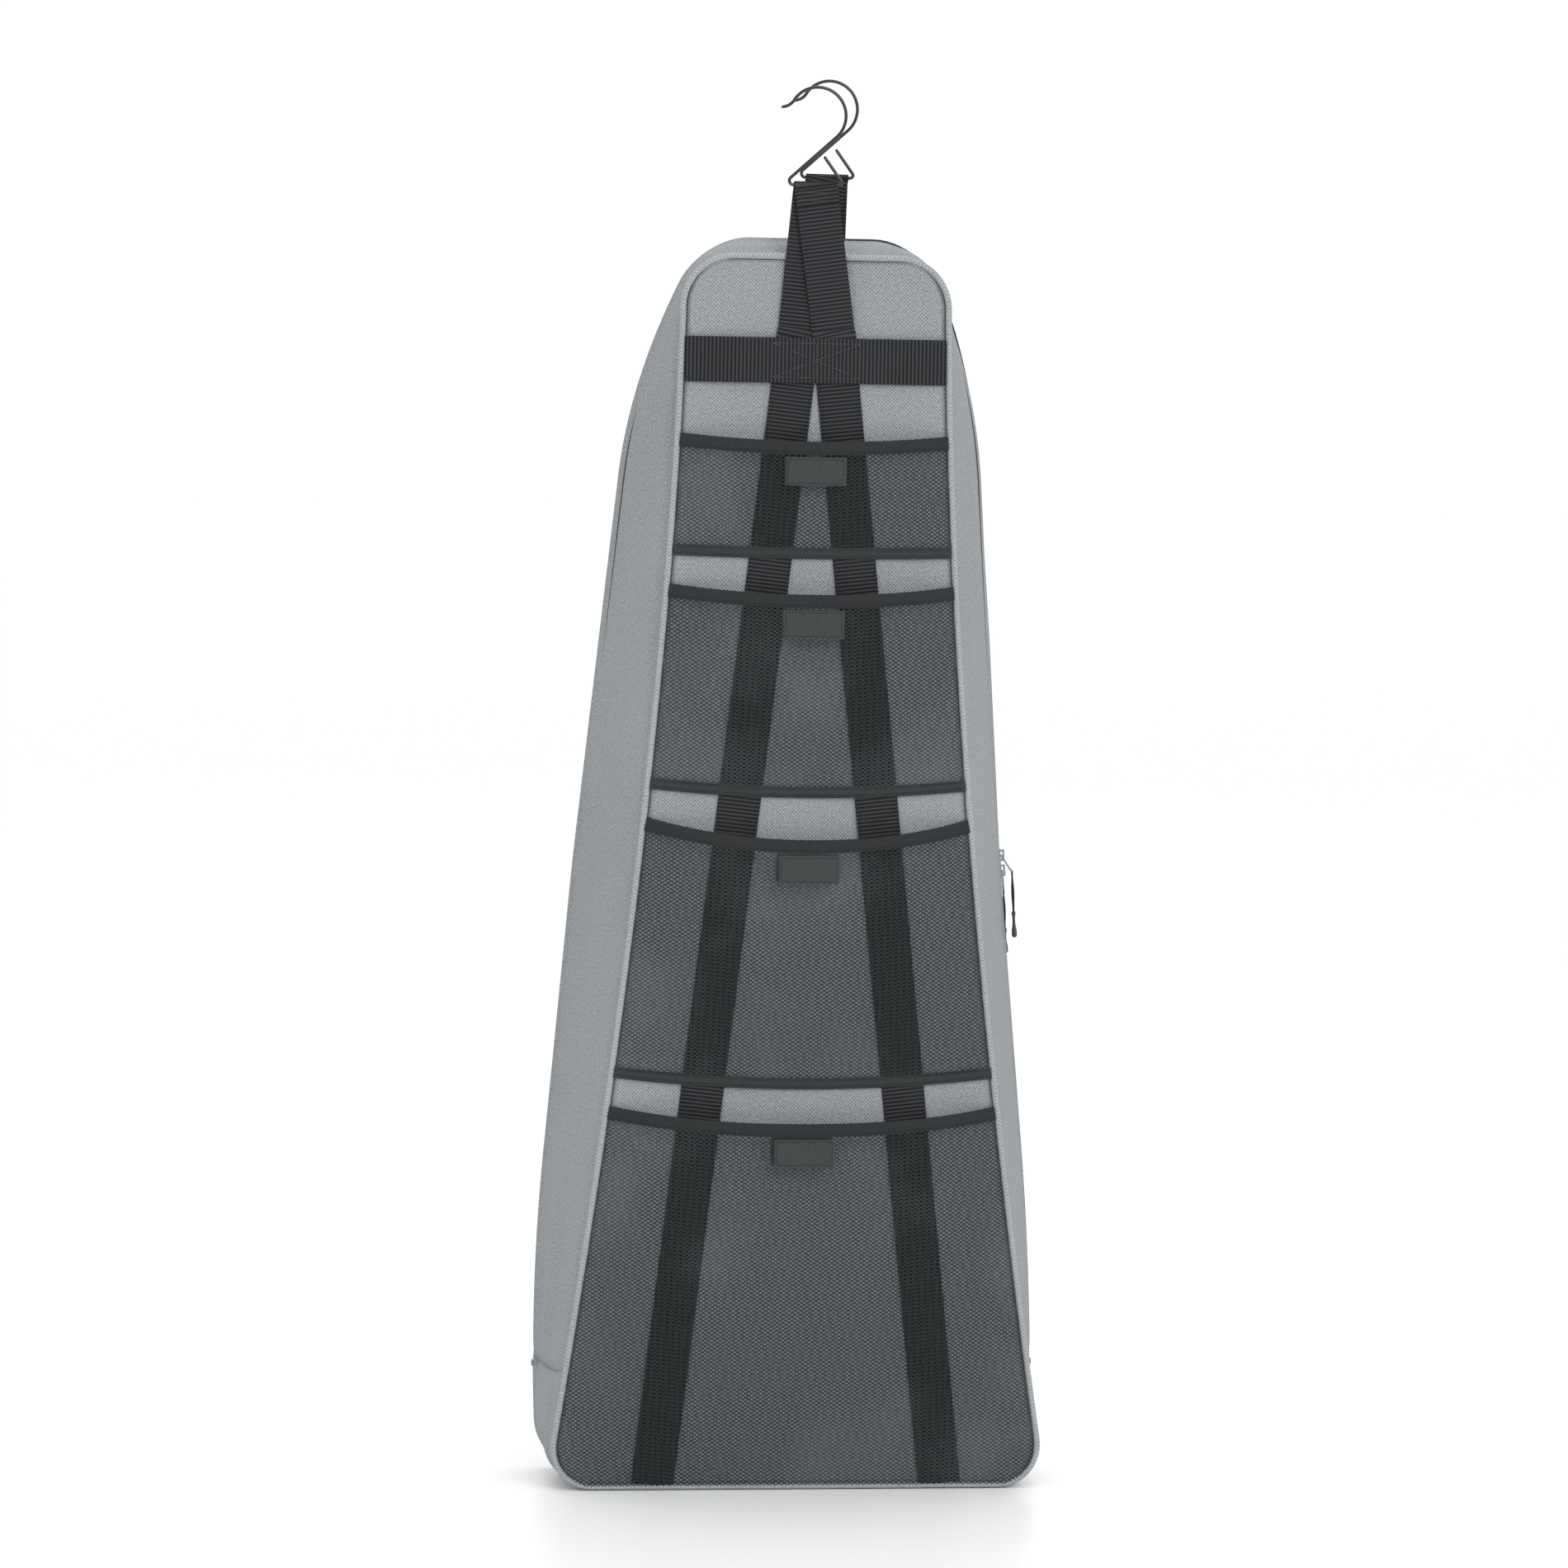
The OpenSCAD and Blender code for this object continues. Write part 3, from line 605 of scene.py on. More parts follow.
paint = {
    "shell": clothMaterial("Grey polyester", (0.428, 0.455, 0.472), (0.065, 0.072, 0.077), 620, 0.0006,
                           sheen=0.04),
    "piping": clothMaterial("Grey piping cloth", (0.47, 0.50, 0.518), (0.11, 0.118, 0.124), 620, 0.0004,
                            sheen=0.04),
    "net": clothMaterial("Black net", (0.025, 0.0305, 0.0312), (0.012, 0.0148, 0.015), 2600, 0.0001,
                         0.6, 0.0, painted_sheen=0.5),
    "elastic": webbingMaterial("Elastic binding", (0.036, 0.038, 0.04), (0.016, 0.017, 0.018),
                               0.0011, 0.0007, 0.00018),
    "tab": clothMaterial("Hook and loop", (0.075, 0.088, 0.088), (0.025, 0.03, 0.03), 1500, 0.0006,
                         0.95, 0.2),
    "webbing": webbingMaterial("Black webbing", (0.037, 0.0385, 0.041), (0.006, 0.006, 0.007),
                               0.0034, 0.0017, 0.0007, painted_knuckle_highlight=0.45),
    "thread": webbingMaterial("Black thread", (0.035, 0.036, 0.038), (0.012, 0.012, 0.013),
                              0.0006, 0.0004, 0.0001),
    "stitch": webbingMaterial("Bonded thread", (0.1, 0.103, 0.107), (0.03, 0.031, 0.033),
                              0.0006, 0.0004, 0.0001),
    "greyThread": webbingMaterial("Grey thread", (0.3, 0.32, 0.335), (0.14, 0.15, 0.16),
                                  0.0006, 0.0004, 0.0001),
    "tape": clothMaterial("Zip tape", (0.05, 0.052, 0.055), (0.016, 0.017, 0.018), 1700, 0.0002,
                          0.75, 0.1),
    "coil": hardMaterial("Zip coil", (0.022, 0.022, 0.024), 0.32, coat=0.3),
    "wire": hardMaterial("Dark nickel wire", (0.045, 0.047, 0.05), 0.16, 1.0, scuff=0.06, scale=300),
    "slider": hardMaterial("Dark nickel slider", (0.2, 0.2, 0.205), 0.28, 1.0, scuff=0.1),
    "grip": hardMaterial("Moulded grip", (0.035, 0.037, 0.038), 0.5, scale=900.0, relief=0.0001),
    "board": hardMaterial("Stiffener board", (0.3, 0.24, 0.17), 0.85, scale=120.0, relief=0.0003),
}


def dress(o, key, body, *nodes):
    # finish, the body it moves with, and the plain pieces it stands in for
    o.data.materials.append(paint[key])
    if body:
        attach(o, body)
    if nodes:
        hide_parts(*nodes)
    return o


kinds = (("cord_pull", "grip"), ("slider", "slider"), ("pull_", "slider"), ("end_stops", "slider"),
         ("board", "board"))
for name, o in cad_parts.items():
    for word, key in kinds:
        if word in name:
            o.data.materials.clear()
            o.data.materials.append(paint[key])
            break
print("materials ready")


def panelRows(n):
    # heights packed closer together in the rounded corners
    low, high = bag["rimZ"] + 3.2, bag["nearTop"] - 3.2
    a = np.linspace(0, math.pi / 2, 14)
    return np.concatenate([low + 39 * (1 - np.cos(a)), np.linspace(low + 39, high - 42, n)[1:-1],
                           high - 42 * (1 - np.sin(a))])


def nearPanel():
    # flat sheet as wide as the outline at each height, dished by slow ripples and turned in at its rim
    z = panelRows(170)
    u = np.sin(np.linspace(-1, 1, 65) * math.pi / 2) * 0.35 + np.linspace(-1, 1, 65) * 0.65
    x = insideHalf(z)[:, None] * u[None] * 1.004
    zz = np.broadcast_to(z[:, None], x.shape)
    # shallow hollows pressed inwards, fading at the seam
    hollow = 0.9 * (1 - u[None] ** 6) * (0.5 + 0.5 * ripple(x / 60, zz / 75, 3))
    edge = (np.minimum(1, (insideHalf(z)[:, None] - np.abs(x)) / 3.5)
            * np.clip((bag["nearTop"] - zz) / 6, 0, 1))
    grid = np.stack([x, bag["nearY"] + hollow + 1.3 * (1 - np.clip(edge, 0, 1)) ** 2, zz], -1)
    # painted shade along the turned-in rim by the piping
    o = gridObject("nearPanelCloth", grid, (0, -1, 0), 1.2, painted_crease_shade=0.9 * (1 - np.clip(edge, 0, 1)))
    return dress(o, "shell", "bag", "near_panel")


def farPanel():
    # the far outline filled at each height, on the far face less a slow sag
    top = bag["farTop"] - 5 - 33 * (1 - np.sin(np.linspace(0, math.pi / 2, 14)))
    z = np.concatenate([panelRows(170)[:-14], top])
    z[:14] += 1.5
    half = farHalf(z) - 5.4
    half -= cornerDrop(z, bag["rimZ"] + 2, bag["farTop"] - 1.6, bag["baseR"], bag["farTopR"])
    u = np.linspace(-1, 1, 61)
    x = half[:, None] * u[None]
    zz = np.broadcast_to(z[:, None], x.shape)
    sag = (1 - u[None] ** 6) * (0.5 + 0.5 * ripple(x / 70, zz / 90, 11))
    grid = np.stack([x, farY(zz) - sag, zz], -1)
    o = gridObject("farPanelCloth", grid, (0, 1, 0), 1.2)
    o = dress(o, "shell", None, "door_panel", "far_panel_foot")
    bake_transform(o)
    return o


# how the side wall is sewn: a welt beside the cord, then a shallow crease, then the open wall
sewing = {"welt": 6.5, "weltHeight": 2.1, "lip": 1.9, "zipCover": 3.0, "tuck": 1.5}


def wallGrid(i, endU, endV, seed, low, wrinkles):
    # strip from the near cord to the far side: rows of points, packed closer beside the cord
    s = np.concatenate([np.linspace(0, 12, 19), np.linspace(12, 124, 24)[1:],
                        [126, 127.4, 128.6, 129.6, 130]]) / 130
    near = byNear(i, bag["nearY"] + 2.6, np.full(len(i), -1.7))
    far = byZip(i, endU, np.full(len(i), endV))
    nearShare, farShare = (1 - s)[None, :, None], s[None, :, None]
    out = outward(nearN, i)[:, None] * nearShare + outward(farN, i)[:, None] * farShare
    grid = near[:, None] * nearShare + far[:, None] * farShare
    width = np.linalg.norm(far - near, axis=1)[:, None]
    d, back = width * s[None], width * (1 - s[None])
    hump = np.clip(np.sin(math.pi * np.clip(d / sewing["welt"], 0, 1)), 0, 1)
    welt = sewing["weltHeight"] * np.sqrt(hump)
    rise = np.clip((d - sewing["welt"]) / 9, 0, 1)
    rise = rise * rise * (3 - 2 * rise)
    bareSide = (near[:, 0] > 0) * np.clip((near[:, 2] - 760) / 120, 0, 1)
    lip = (sewing["lip"] * (1 - bareSide))[:, None] * np.sin(math.pi * np.clip(back / 6, 0, 1)) ** 0.7
    body = np.sin(math.pi * s)[None]
    along = arcLength(near)[:, None] / 100
    # the folds die away towards both cut ends, where the two strips are sewn together
    still = np.clip(np.minimum(along, along[-1] - along) / 0.3, 0, 1)
    folds = ripple(s[None] * 9, along * 0.55, seed, 5, 0.6, 2.0)
    fine = ripple(s[None] * 26, along * 1.1, seed + 1, 5, 0.5, 1.6)
    heavy = (np.clip((560 - near[:, 2]) / 500, 0, 1) * np.clip(-near[:, 0] / 120, 0, 1))[:, None]
    soft = (0.7 + wrinkles * heavy) * folds + 0.3 * fine
    lift = low + welt + rise * (1.0 + body * (2.2 + soft * still)) + lip
    # painted shade along the crease beside the welt, beside the cord and along the far edge by the zip
    painted_crease_shade = np.exp(-((d - sewing["welt"]) / 1.2) ** 2) + np.exp(-(d / 1.9) ** 2)
    painted_crease_shade = painted_crease_shade + 0.6 * np.exp(-(np.maximum(0, back - 0.6) / 0.8) ** 2)
    return grid + out * lift[..., None], out, painted_crease_shade


def nearEnds(grid, reach):
    # 1 at both cut ends of a strip, falling off as a bell curve over the reach
    rows = arcLength(grid[:, 20])[:, None]
    return np.exp(-(rows / reach) ** 2) + np.exp(-((rows[-1] - rows) / reach) ** 2)


def gussets():
    i = np.arange(foldAt, ringCount - foldAt + 1)
    grid, out, painted_crease_shade = wallGrid(i, -sewing["zipCover"], -0.6, 21, 1.5, 1.8)
    # painted shade also darkens both cut ends, where the strips are sewn together
    painted_crease_shade = painted_crease_shade + 0.4 * nearEnds(grid, 5)
    grid = grid - out * (sewing["tuck"] * nearEnds(grid, 9))[..., None]
    o = gridObject("sideGussetCloth", grid, out, 1.1, painted_crease_shade=painted_crease_shade)
    dress(o, "shell", "bag", "side_gusset")
    i = np.arange(-foldAt - 1, foldAt + 2)
    grid, out, painted_crease_shade = wallGrid(i, bag["zipInset"] - 2, -2.2, 31, 1.9, 0.4)
    grid = grid - out * (0.9 * nearEnds(grid, 7))[..., None]
    flat = np.clip((grid[..., 2] - 10) / 30, 0, 1)
    grid[..., 2] = np.maximum(grid[..., 2], 0.05 + 0.4 * flat)
    o = gridObject("baseGussetCloth", grid, out, 1.3, painted_crease_shade=painted_crease_shade)
    dress(o, "shell", "bag", "base_gusset")
    # the door's turned edge between its piping and the zip
    i = np.arange(foldAt + 1, ringCount - foldAt)
    u = np.array([2.9, 3.0, 3.4, 4.4, 6.5, 9.5, 12.5, 14.5, 15.8])
    v = np.array([0.5, 1.1, 1.6, 1.75, 1.5, 1.1, 0.7, -0.2, -1.8])
    wave = 0.25 * ripple(arcLength(byZip(i, 0, np.zeros(len(i))))[:, None] / 30, u[None] / 5, 51)
    grid = np.stack([byZip(i, a, np.full(len(i), b) + wave[:, k] * (a > 4.5))
                     for k, (a, b) in enumerate(zip(u, v))], 1)
    o = gridObject("doorEdgeCloth", grid, outward(farN, i)[:, None], 1.0)
    dress(o, "shell", "door")


def pipings():
    # round cord carried along each outline, the near one swelling a little as it goes
    i = np.arange(ringCount)
    points = byNear(i, bag["nearY"] + 0.6, np.zeros(ringCount))
    s = arcLength(points)
    plump = 1 + 0.03 * np.sin(s / 9) * np.sin(s / 31)
    profile = disc(bag["cordR"], 14)[None] * plump[:, None, None]
    o = sweepObject("nearPipingCord", points, outward(nearN, i), profile, closed=True)
    dress(o, "piping", "bag", "near_piping")
    points = byZip(i, bag["zipInset"] - 1, np.full(ringCount, -2.0))
    o = sweepObject("farPipingCord", points, outward(farN, i), disc(bag["cordR"], 14), closed=True)
    o = dress(o, "piping", None, "far_piping", "far_piping_foot")
    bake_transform(o)


pipings()
nearPanel()
farPanel()
gussets()
print("walls and piping")

# the zip: tooth pitch along the tape, thread radius, and how proud the coil stands at the top corner
zipLook = {"pitch": 1.55, "toothR": 0.62, "bare": 1.5}


def tape(name, side, body, node):
    # narrow strip beside the line of the zip, falling away evenly with the distance from it
    i = np.arange(foldAt + 1, ringCount - foldAt)
    u = np.linspace(0.35, 13.6, 9) * side
    drop = -0.45 - 0.16 * np.maximum(0, np.abs(u) - 2)
    grid = np.stack([byZip(i, a, np.full(len(i), 0.75 + d)) for a, d in zip(u, drop)], 1)
    o = gridObject(name, grid, outward(farN, i)[:, None], 0.6)
    dress(o, "tape", body, node)


def teeth(name, side, body, node):
    # one bent loop of monofilament per tooth, reaching over the middle between two of the other side
    i = np.arange(foldAt + 1, ringCount - foldAt)
    line = byZip(i, 0.0, np.zeros(len(i)))
    out = outward(farN, i)
    s = arcLength(line)
    count = int(s[-1] / zipLook["pitch"]) - 6
    at = (np.arange(count) + 3 + (0.5 if side > 0 else 0)) * zipLook["pitch"]
    pick = lambda f: np.stack([np.interp(at, s, f[:, c]) for c in range(3)], 1)
    p, o3 = pick(line), pick(out)
    o3 /= np.linalg.norm(o3, axis=1)[:, None]
    t = pick(np.gradient(line, axis=0))
    t /= np.linalg.norm(t, axis=1)[:, None]
    across = np.cross(t, o3)
    across *= np.sign(across[:, 1:2])
    r = zipLook["toothR"]
    # the coil stands a little prouder over the open top corner
    bare = (zipLook["bare"] * (p[:, 0] > 0) * np.clip((p[:, 2] - 985) / 50, 0, 1))[:, None]
    rings = []
    # across the zip, height over the tape and thickness at five places of the bent thread
    for u, v, f in ((2.6, 0.7, 0.6), (2.3, 1.7, 1), (0.8, 2.0, 1), (-0.7, 1.7, 1.15), (-0.9, 0.9, 0.7)):
        ring = [p + across * (side * u) + o3 * (v + bare) + t * (r * f * a) + o3 * (r * f * b)
                for a, b in ((-1, 0), (-0.5, 0.8), (0.5, 0.8), (1, 0), (0.5, -0.8), (-0.5, -0.8))]
        rings.append(np.stack(ring, 1))
    verts = np.stack(rings, 1).reshape(-1, 3)
    j = np.arange(6)
    unit = np.concatenate([np.stack([b * 6 + j, b * 6 + (j + 1) % 6, (b + 1) * 6 + (j + 1) % 6,
                                     (b + 1) * 6 + j], 1) for b in range(4)]
                          + [np.array([[0, 5, 4, 1], [1, 4, 3, 2], [25, 28, 29, 24], [26, 27, 28, 25]])])
    if side < 0:
        unit = unit[:, ::-1]
    quads = (unit[None] + (np.arange(count) * 30)[:, None, None]).reshape(-1, 4)
    uv = np.tile(np.array([[0, 0], [1, 0], [1, 1], [0, 1]], float), (len(quads), 1))
    dress(meshObject(name, verts, quads, uv), "coil", body, node)


tape("zipTapeBag", -1, "bag", "zip_tape_bag")
tape("zipTapeDoor", 1, "door", "zip_tape_door")
teeth("zipCoilBag", -1, "bag", "zip_coil_bag")
teeth("zipCoilDoor", 1, "door", "zip_coil_door")
print("zip")

# pockets from the top one down: foot, mouth at the sides, how far the mouth dips and stands off
pockets = [
    {"floor": 832, "top": 942, "dip": 6, "depth": 14, "hemRise": 2, "sheet": (0.262, 0.11)},
    {"floor": 620, "top": 809, "dip": 8, "depth": 16, "hemRise": 7, "sheet": (0.29, 0.185)},
    {"floor": 360, "top": 602, "dip": 18, "depth": 18, "hemRise": 10, "sheet": (0.35, 0.235)},
    {"floor": 4, "top": 345, "dip": 14, "depth": 18, "hemRise": 0, "sheet": (0.43, 0.335)},
]
net = {"cellWidth": 5.3, "cellHeight": 3.58, "open": 0.7, "hem": 10.0, "binding": 12.0}


def pocketFloor(k):
    return pockets[k]["floor"] + (net["hem"] - 1 if k < 3 else 0)


def lowZ(k, u):
    return pocketFloor(k) + pockets[k]["hemRise"] * u * u


def mouthZ(k, u):
    return pockets[k]["top"] - pockets[k]["dip"] * (1 - u * u)


def pocketY(k, u, v, x, z):
    # pocket standing off the panel, most at the mouth; a few soft drapes run down from the binding
    d = pockets[k]["depth"]
    body = d * (1 - (1 - np.clip(v, 0, 1)) ** 2) * (1 - np.clip(np.abs(u), 0, 1) ** 4)
    drape = 0.9 * ripple(x / 42, z / 150, 41 + k, 5, 0.5, 1.6) * np.clip(v, 0, 1) * (1 - u ** 4)
    return bag["nearY"] - 2.4 - np.maximum(0, body + drape)


def pocketNet(k):
    # diamond cells in offset rows, each a ring of four quads round its hole, bent over the pocket's shape
    w, h = net["cellWidth"], net["cellHeight"]
    low = pocketFloor(k)
    rows = np.arange(int((pockets[k]["top"] - low) / (h / 2)) + 2)
    cols = np.arange(-int(230 / w) - 1, int(230 / w) + 2)
    jj, ii = np.meshgrid(rows, cols, indexing="ij")
    cx = (ii + 0.5 * (jj % 2)) * w
    cz = low + jj * h / 2
    half = insideHalf(cz)
    mouth = mouthZ(k, np.clip(cx / half, -1, 1)) - net["binding"] * 0.5
    keep = (np.abs(cx) < half + w * 0.3) & (cz < mouth + h * 0.2)
    cx, cz = cx[keep], cz[keep]
    corner = np.array([(-0.5, 0), (0, -0.5), (0.5, 0), (0, 0.5)])
    sx = cx[:, None] + corner[None, :, 0] * w
    sz = cz[:, None] + corner[None, :, 1] * h
    # a hole is its cell drawn in towards the middle, each one a little differently
    inner = corner * net["open"]
    jitter = rng.normal(0, 0.02, (len(cx), 1, 2))
    hx = cx[:, None] + (inner[None, :, 0] + jitter[..., 0] * 0.4) * w
    hz = cz[:, None] + (inner[None, :, 1] + jitter[..., 1] * 0.4) * h
    x = np.concatenate([sx, hx], 1)
    z = np.concatenate([sz, hz], 1)
    z = np.maximum(z, lowZ(k, np.clip(x / insideHalf(z), -1, 1)))
    halfZ = insideHalf(z)
    x = np.clip(x, -halfZ - 0.4, halfZ + 0.4)
    u = np.clip(x / halfZ, -1, 1)
    v = (z - low) / (mouthZ(k, u) - net["binding"] - low)
    y = pocketY(k, u, v, x, z)
    y[:, 4:] += 0.22  # the holes' rims sit a little behind the knots
    verts = np.stack([x, y, z], -1).reshape(-1, 3)
    a = np.arange(4)
    unit = np.stack([a, (a + 1) % 4, 4 + (a + 1) % 4, 4 + a], 1)
    quads = (unit[None] + (np.arange(len(cx)) * 8)[:, None, None]).reshape(-1, 4)
    uv = np.stack([x, z], -1).reshape(-1, 2)[quads.ravel()]
    key, inverse = np.unique(np.round(verts / 0.02).astype(np.int64), axis=0, return_inverse=True)
    first = np.zeros(len(key), np.int64)
    first[inverse[::-1]] = np.arange(len(verts))[::-1]
    quads = inverse[quads]
    good = (np.diff(np.sort(quads, 1), axis=1) > 0).all(1)
    uv = uv.reshape(-1, 4, 2)[good].reshape(-1, 2)
    o = meshObject("pocket%dNet" % (k + 1), verts[first], quads[good], uv)
    dress(o, "net", "bag", "pocket_%d_mesh" % (k + 1))


def pocketBinding(k):
    # folded elastic over the net's edge, gathered by its own pull
    u = np.linspace(-1, 1, 241)
    zMid = mouthZ(k, u) - net["binding"] / 2
    x = u * (insideHalf(zMid) + 0.6)
    y = pocketY(k, u, np.ones_like(u), x, mouthZ(k, u) - net["binding"]) + 0.4
    points = np.stack([x, y, zMid], 1)
    s = arcLength(points)
    ruffle = 0.22 * np.sin(s * 1.15 + 0.8 * np.sin(s / 13)) + 0.12 * np.sin(s * 2.3)
    base = roundRect(net["binding"], 1.9, 0.9)
    profile = np.repeat(base[None], len(u), 0)
    profile[..., 1] += ruffle[:, None] * (np.abs(base[:, 0]) / net["binding"] + 0.4)[None]
    profile[..., 0] *= (1 + 0.02 * np.sin(s * 0.9))[:, None]
    o = sweepObject("pocket%dBinding" % (k + 1), points, (0, -1, 0), profile)
    dress(o, "elastic", "bag", "pocket_%d_elastic" % (k + 1))
    line = points + (0, -1.15, -net["binding"] / 2 + 2.2)
    o = joined("pocket%dBindingStitch" % (k + 1), [stitchParts(line, (0, -1, 0), 3.0, 2.2, 0.3)])
    dress(o, "thread", "bag")


def pocketHem(k):
    # doubled net along the pocket's foot: a flat band with a half sine of puff over its height
    z = pockets[k]["floor"] + np.linspace(0, net["hem"], 5)
    u = np.linspace(-1, 1, 121)
    x = insideHalf(z)[:, None] * u[None]
    zz = z[:, None] + pockets[k]["hemRise"] * u[None] ** 2
    puff = 0.35 * np.sin(math.pi * np.linspace(0, 1, 5))[:, None] + 0.12 * ripple(x / 6, zz / 6, 70 + k)
    grid = np.stack([x, bag["nearY"] - 2.6 - puff, zz], -1)
    o = gridObject("pocket%dHem" % (k + 1), grid, (0, -1, 0), 0.8)
    dress(o, "tape", "bag", "pocket_%d_hem" % (k + 1))
    rows = []
    for share in (0.25, 0.8):
        zl = pockets[k]["floor"] + net["hem"] * share
        xs = np.linspace(-1, 1, 60) * (insideHalf(zl) - 2)
        curve = zl + pockets[k]["hemRise"] * (xs / xs[-1]) ** 2
        line = np.stack([xs, np.full(60, bag["nearY"] - 3.0), curve], 1)
        rows.append(stitchParts(line, (0, -1, 0), 3.0, 2.2, 0.26))
    dress(joined("pocket%dHemStitch" % (k + 1), rows), "thread", "bag")


tab = {"half": 27.0, "halfHeight": 12.5, "below": 2.0, "stitchIn": 2.0}


def tabs(k):
    # a hook patch on the net and its loop patch on the panel, both flat with a rounded-off rim and fuzz
    half, tall = tab["half"], tab["halfHeight"]
    zc = mouthZ(k, 0) - net["binding"] - tab["below"] - tall
    low = pocketFloor(k)
    x = np.linspace(-half, half, 37)
    z = zc + np.linspace(-tall, tall, 19)
    xx, zz = np.meshgrid(x, z)
    u = xx / insideHalf(zz)
    v = (zz - low) / (mouthZ(k, u) - net["binding"] - low)
    edge = np.clip((half - np.abs(xx)) / 1.6, 0, 1) * np.clip((tall - np.abs(zz - zc)) / 1.6, 0, 1)
    fuzz = 0.16 * ripple(xx * 1.7, zz * 1.9, 90 + k, 6)
    front = np.stack([xx, pocketY(k, u, v, xx, zz) - 0.15 - 0.5 * edge - fuzz * edge * 0.4, zz], -1)
    o = gridObject("pocket%dHookTab" % (k + 1), front, (0, -1, 0), 1.3)
    dress(o, "tab", "bag", "pocket_%d_hook_tab" % (k + 1))
    overStrap = strapX(zc) - web["width"] / 2 < half + 1
    y0 = bag["nearY"] - (1.7 if overStrap else 0.2)
    back = np.stack([xx, y0 - 0.9 - 0.4 * edge - fuzz * edge, zz], -1)
    o = gridObject("pocket%dLoopTab" % (k + 1), back, (0, -1, 0), 1.1)
    dress(o, "tab", "bag", "pocket_%d_loop_tab" % (k + 1))
    a, b = half - tab["stitchIn"], tall - tab["stitchIn"]
    t = np.linspace(0, 4, 161)
    px = np.interp(t, np.arange(5), (-a, a, a, -a, -a))
    pz = zc + np.interp(t, np.arange(5), (-b, -b, b, b, -b))
    pu = px / insideHalf(pz)
    pv = (pz - low) / (mouthZ(k, pu) - net["binding"] - low)
    line = np.stack([px, pocketY(k, pu, pv, px, pz) - 0.65, pz], 1)
    rows = [stitchParts(line, (0, -1, 0), 2.8, 2.0, 0.28)]
    dress(joined("pocket%dTabStitch" % (k + 1), rows), "thread", "bag")


for k in range(4):
    pocketNet(k)
    pocketBinding(k)
    tabs(k)
    if k < 3:
        pocketHem(k)
print("pockets")

strip = roundRect(web["width"], web["thick"], 0.55)


def strapLine(side, z, y):
    return np.stack([side * strapX(z), y, z], 1)


def nearStraps():
    for side, word in ((-1, "Left"), (1, "Right")):
        z = np.linspace(web["foot"], web["crossZ"] + 12, 120)
        points = strapLine(side, z, np.full(120, bag["nearY"] - 0.95))
        o = sweepObject("nearStrap" + word, points, (0, -1, 0), strip)
        dress(o, "webbing", "bag", "near_strap_" + word.lower())
        rows = []
        for edge in (-1, 1):
            line = strapLine(side, z, np.full(120, bag["nearY"] - 1.7)) + (edge * web["seamAt"], 0, 0)
            rows.append(stitchParts(line, (0, -1, 0), 3.4, 2.5, 0.26))
        dress(joined("nearStrap" + word + "Stitch", rows), "thread", "bag")


def crossStrap(name, half, yAt, outY, body, node):
    # flat strip across the bag, bowed out over the slanted straps, with a box and cross sewn through
    x = np.linspace(-half, half, 90)
    zc = web["crossZ"] + web["crossHeight"] / 2
    bow = 1.0 - 0.9 * np.abs(x / half) ** 6
    points = np.stack([x, yAt + outY * bow, np.full(90, zc)], 1)
    o = sweepObject(name, points, (0, outY, 0), roundRect(web["crossHeight"], web["thick"], 0.55))
    dress(o, "webbing", body, node)
    face = yAt + outY * (1.0 + web["thick"] / 2 + 0.02)
    a, b = web["boxHalf"]
    rows = []
    for xs, zs in (((-a, a, a, -a, -a), (-b, -b, b, b, -b)), ((-a, a), (-b, b)), ((-a, a), (b, -b)),
                   ((0, 0), (-b, b))):
        t = np.linspace(0, len(xs) - 1, 60 * (len(xs) - 1) + 1)
        px, pz = (np.interp(t, np.arange(len(xs)), c) for c in (xs, zs))
        line = np.stack([px, np.full_like(px, face), zc + pz], 1)
        rows.append(stitchParts(line, (0, outY, 0), 3.0, 2.2, 0.45))
    dress(joined(name + "Stitch", rows), "stitch", body)


def farStraps():
    for side, word in ((-1, "Left"), (1, "Right")):
        z = np.linspace(12, web["crossZ"] + 12, 200)
        points = strapLine(side, z, farY(z) + 1.1)
        o = sweepObject("farStrap" + word, points, (0, 1, 0), strip)
        nodes = ["far_strap_" + word.lower()] + (["far_strap_feet"] if side < 0 else [])
        o = dress(o, "webbing", None, *nodes)
        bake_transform(o)
        rows = []
        for edge in (-1, 1):
            line = strapLine(side, z, farY(z) + 1.85)[z > 110] + (edge * web["seamAt"], 0, 0)
            rows.append(stitchParts(line, (0, 1, 0), 3.4, 2.5, 0.26))
        dress(joined("farStrap" + word + "Stitch", rows), "thread", "door")


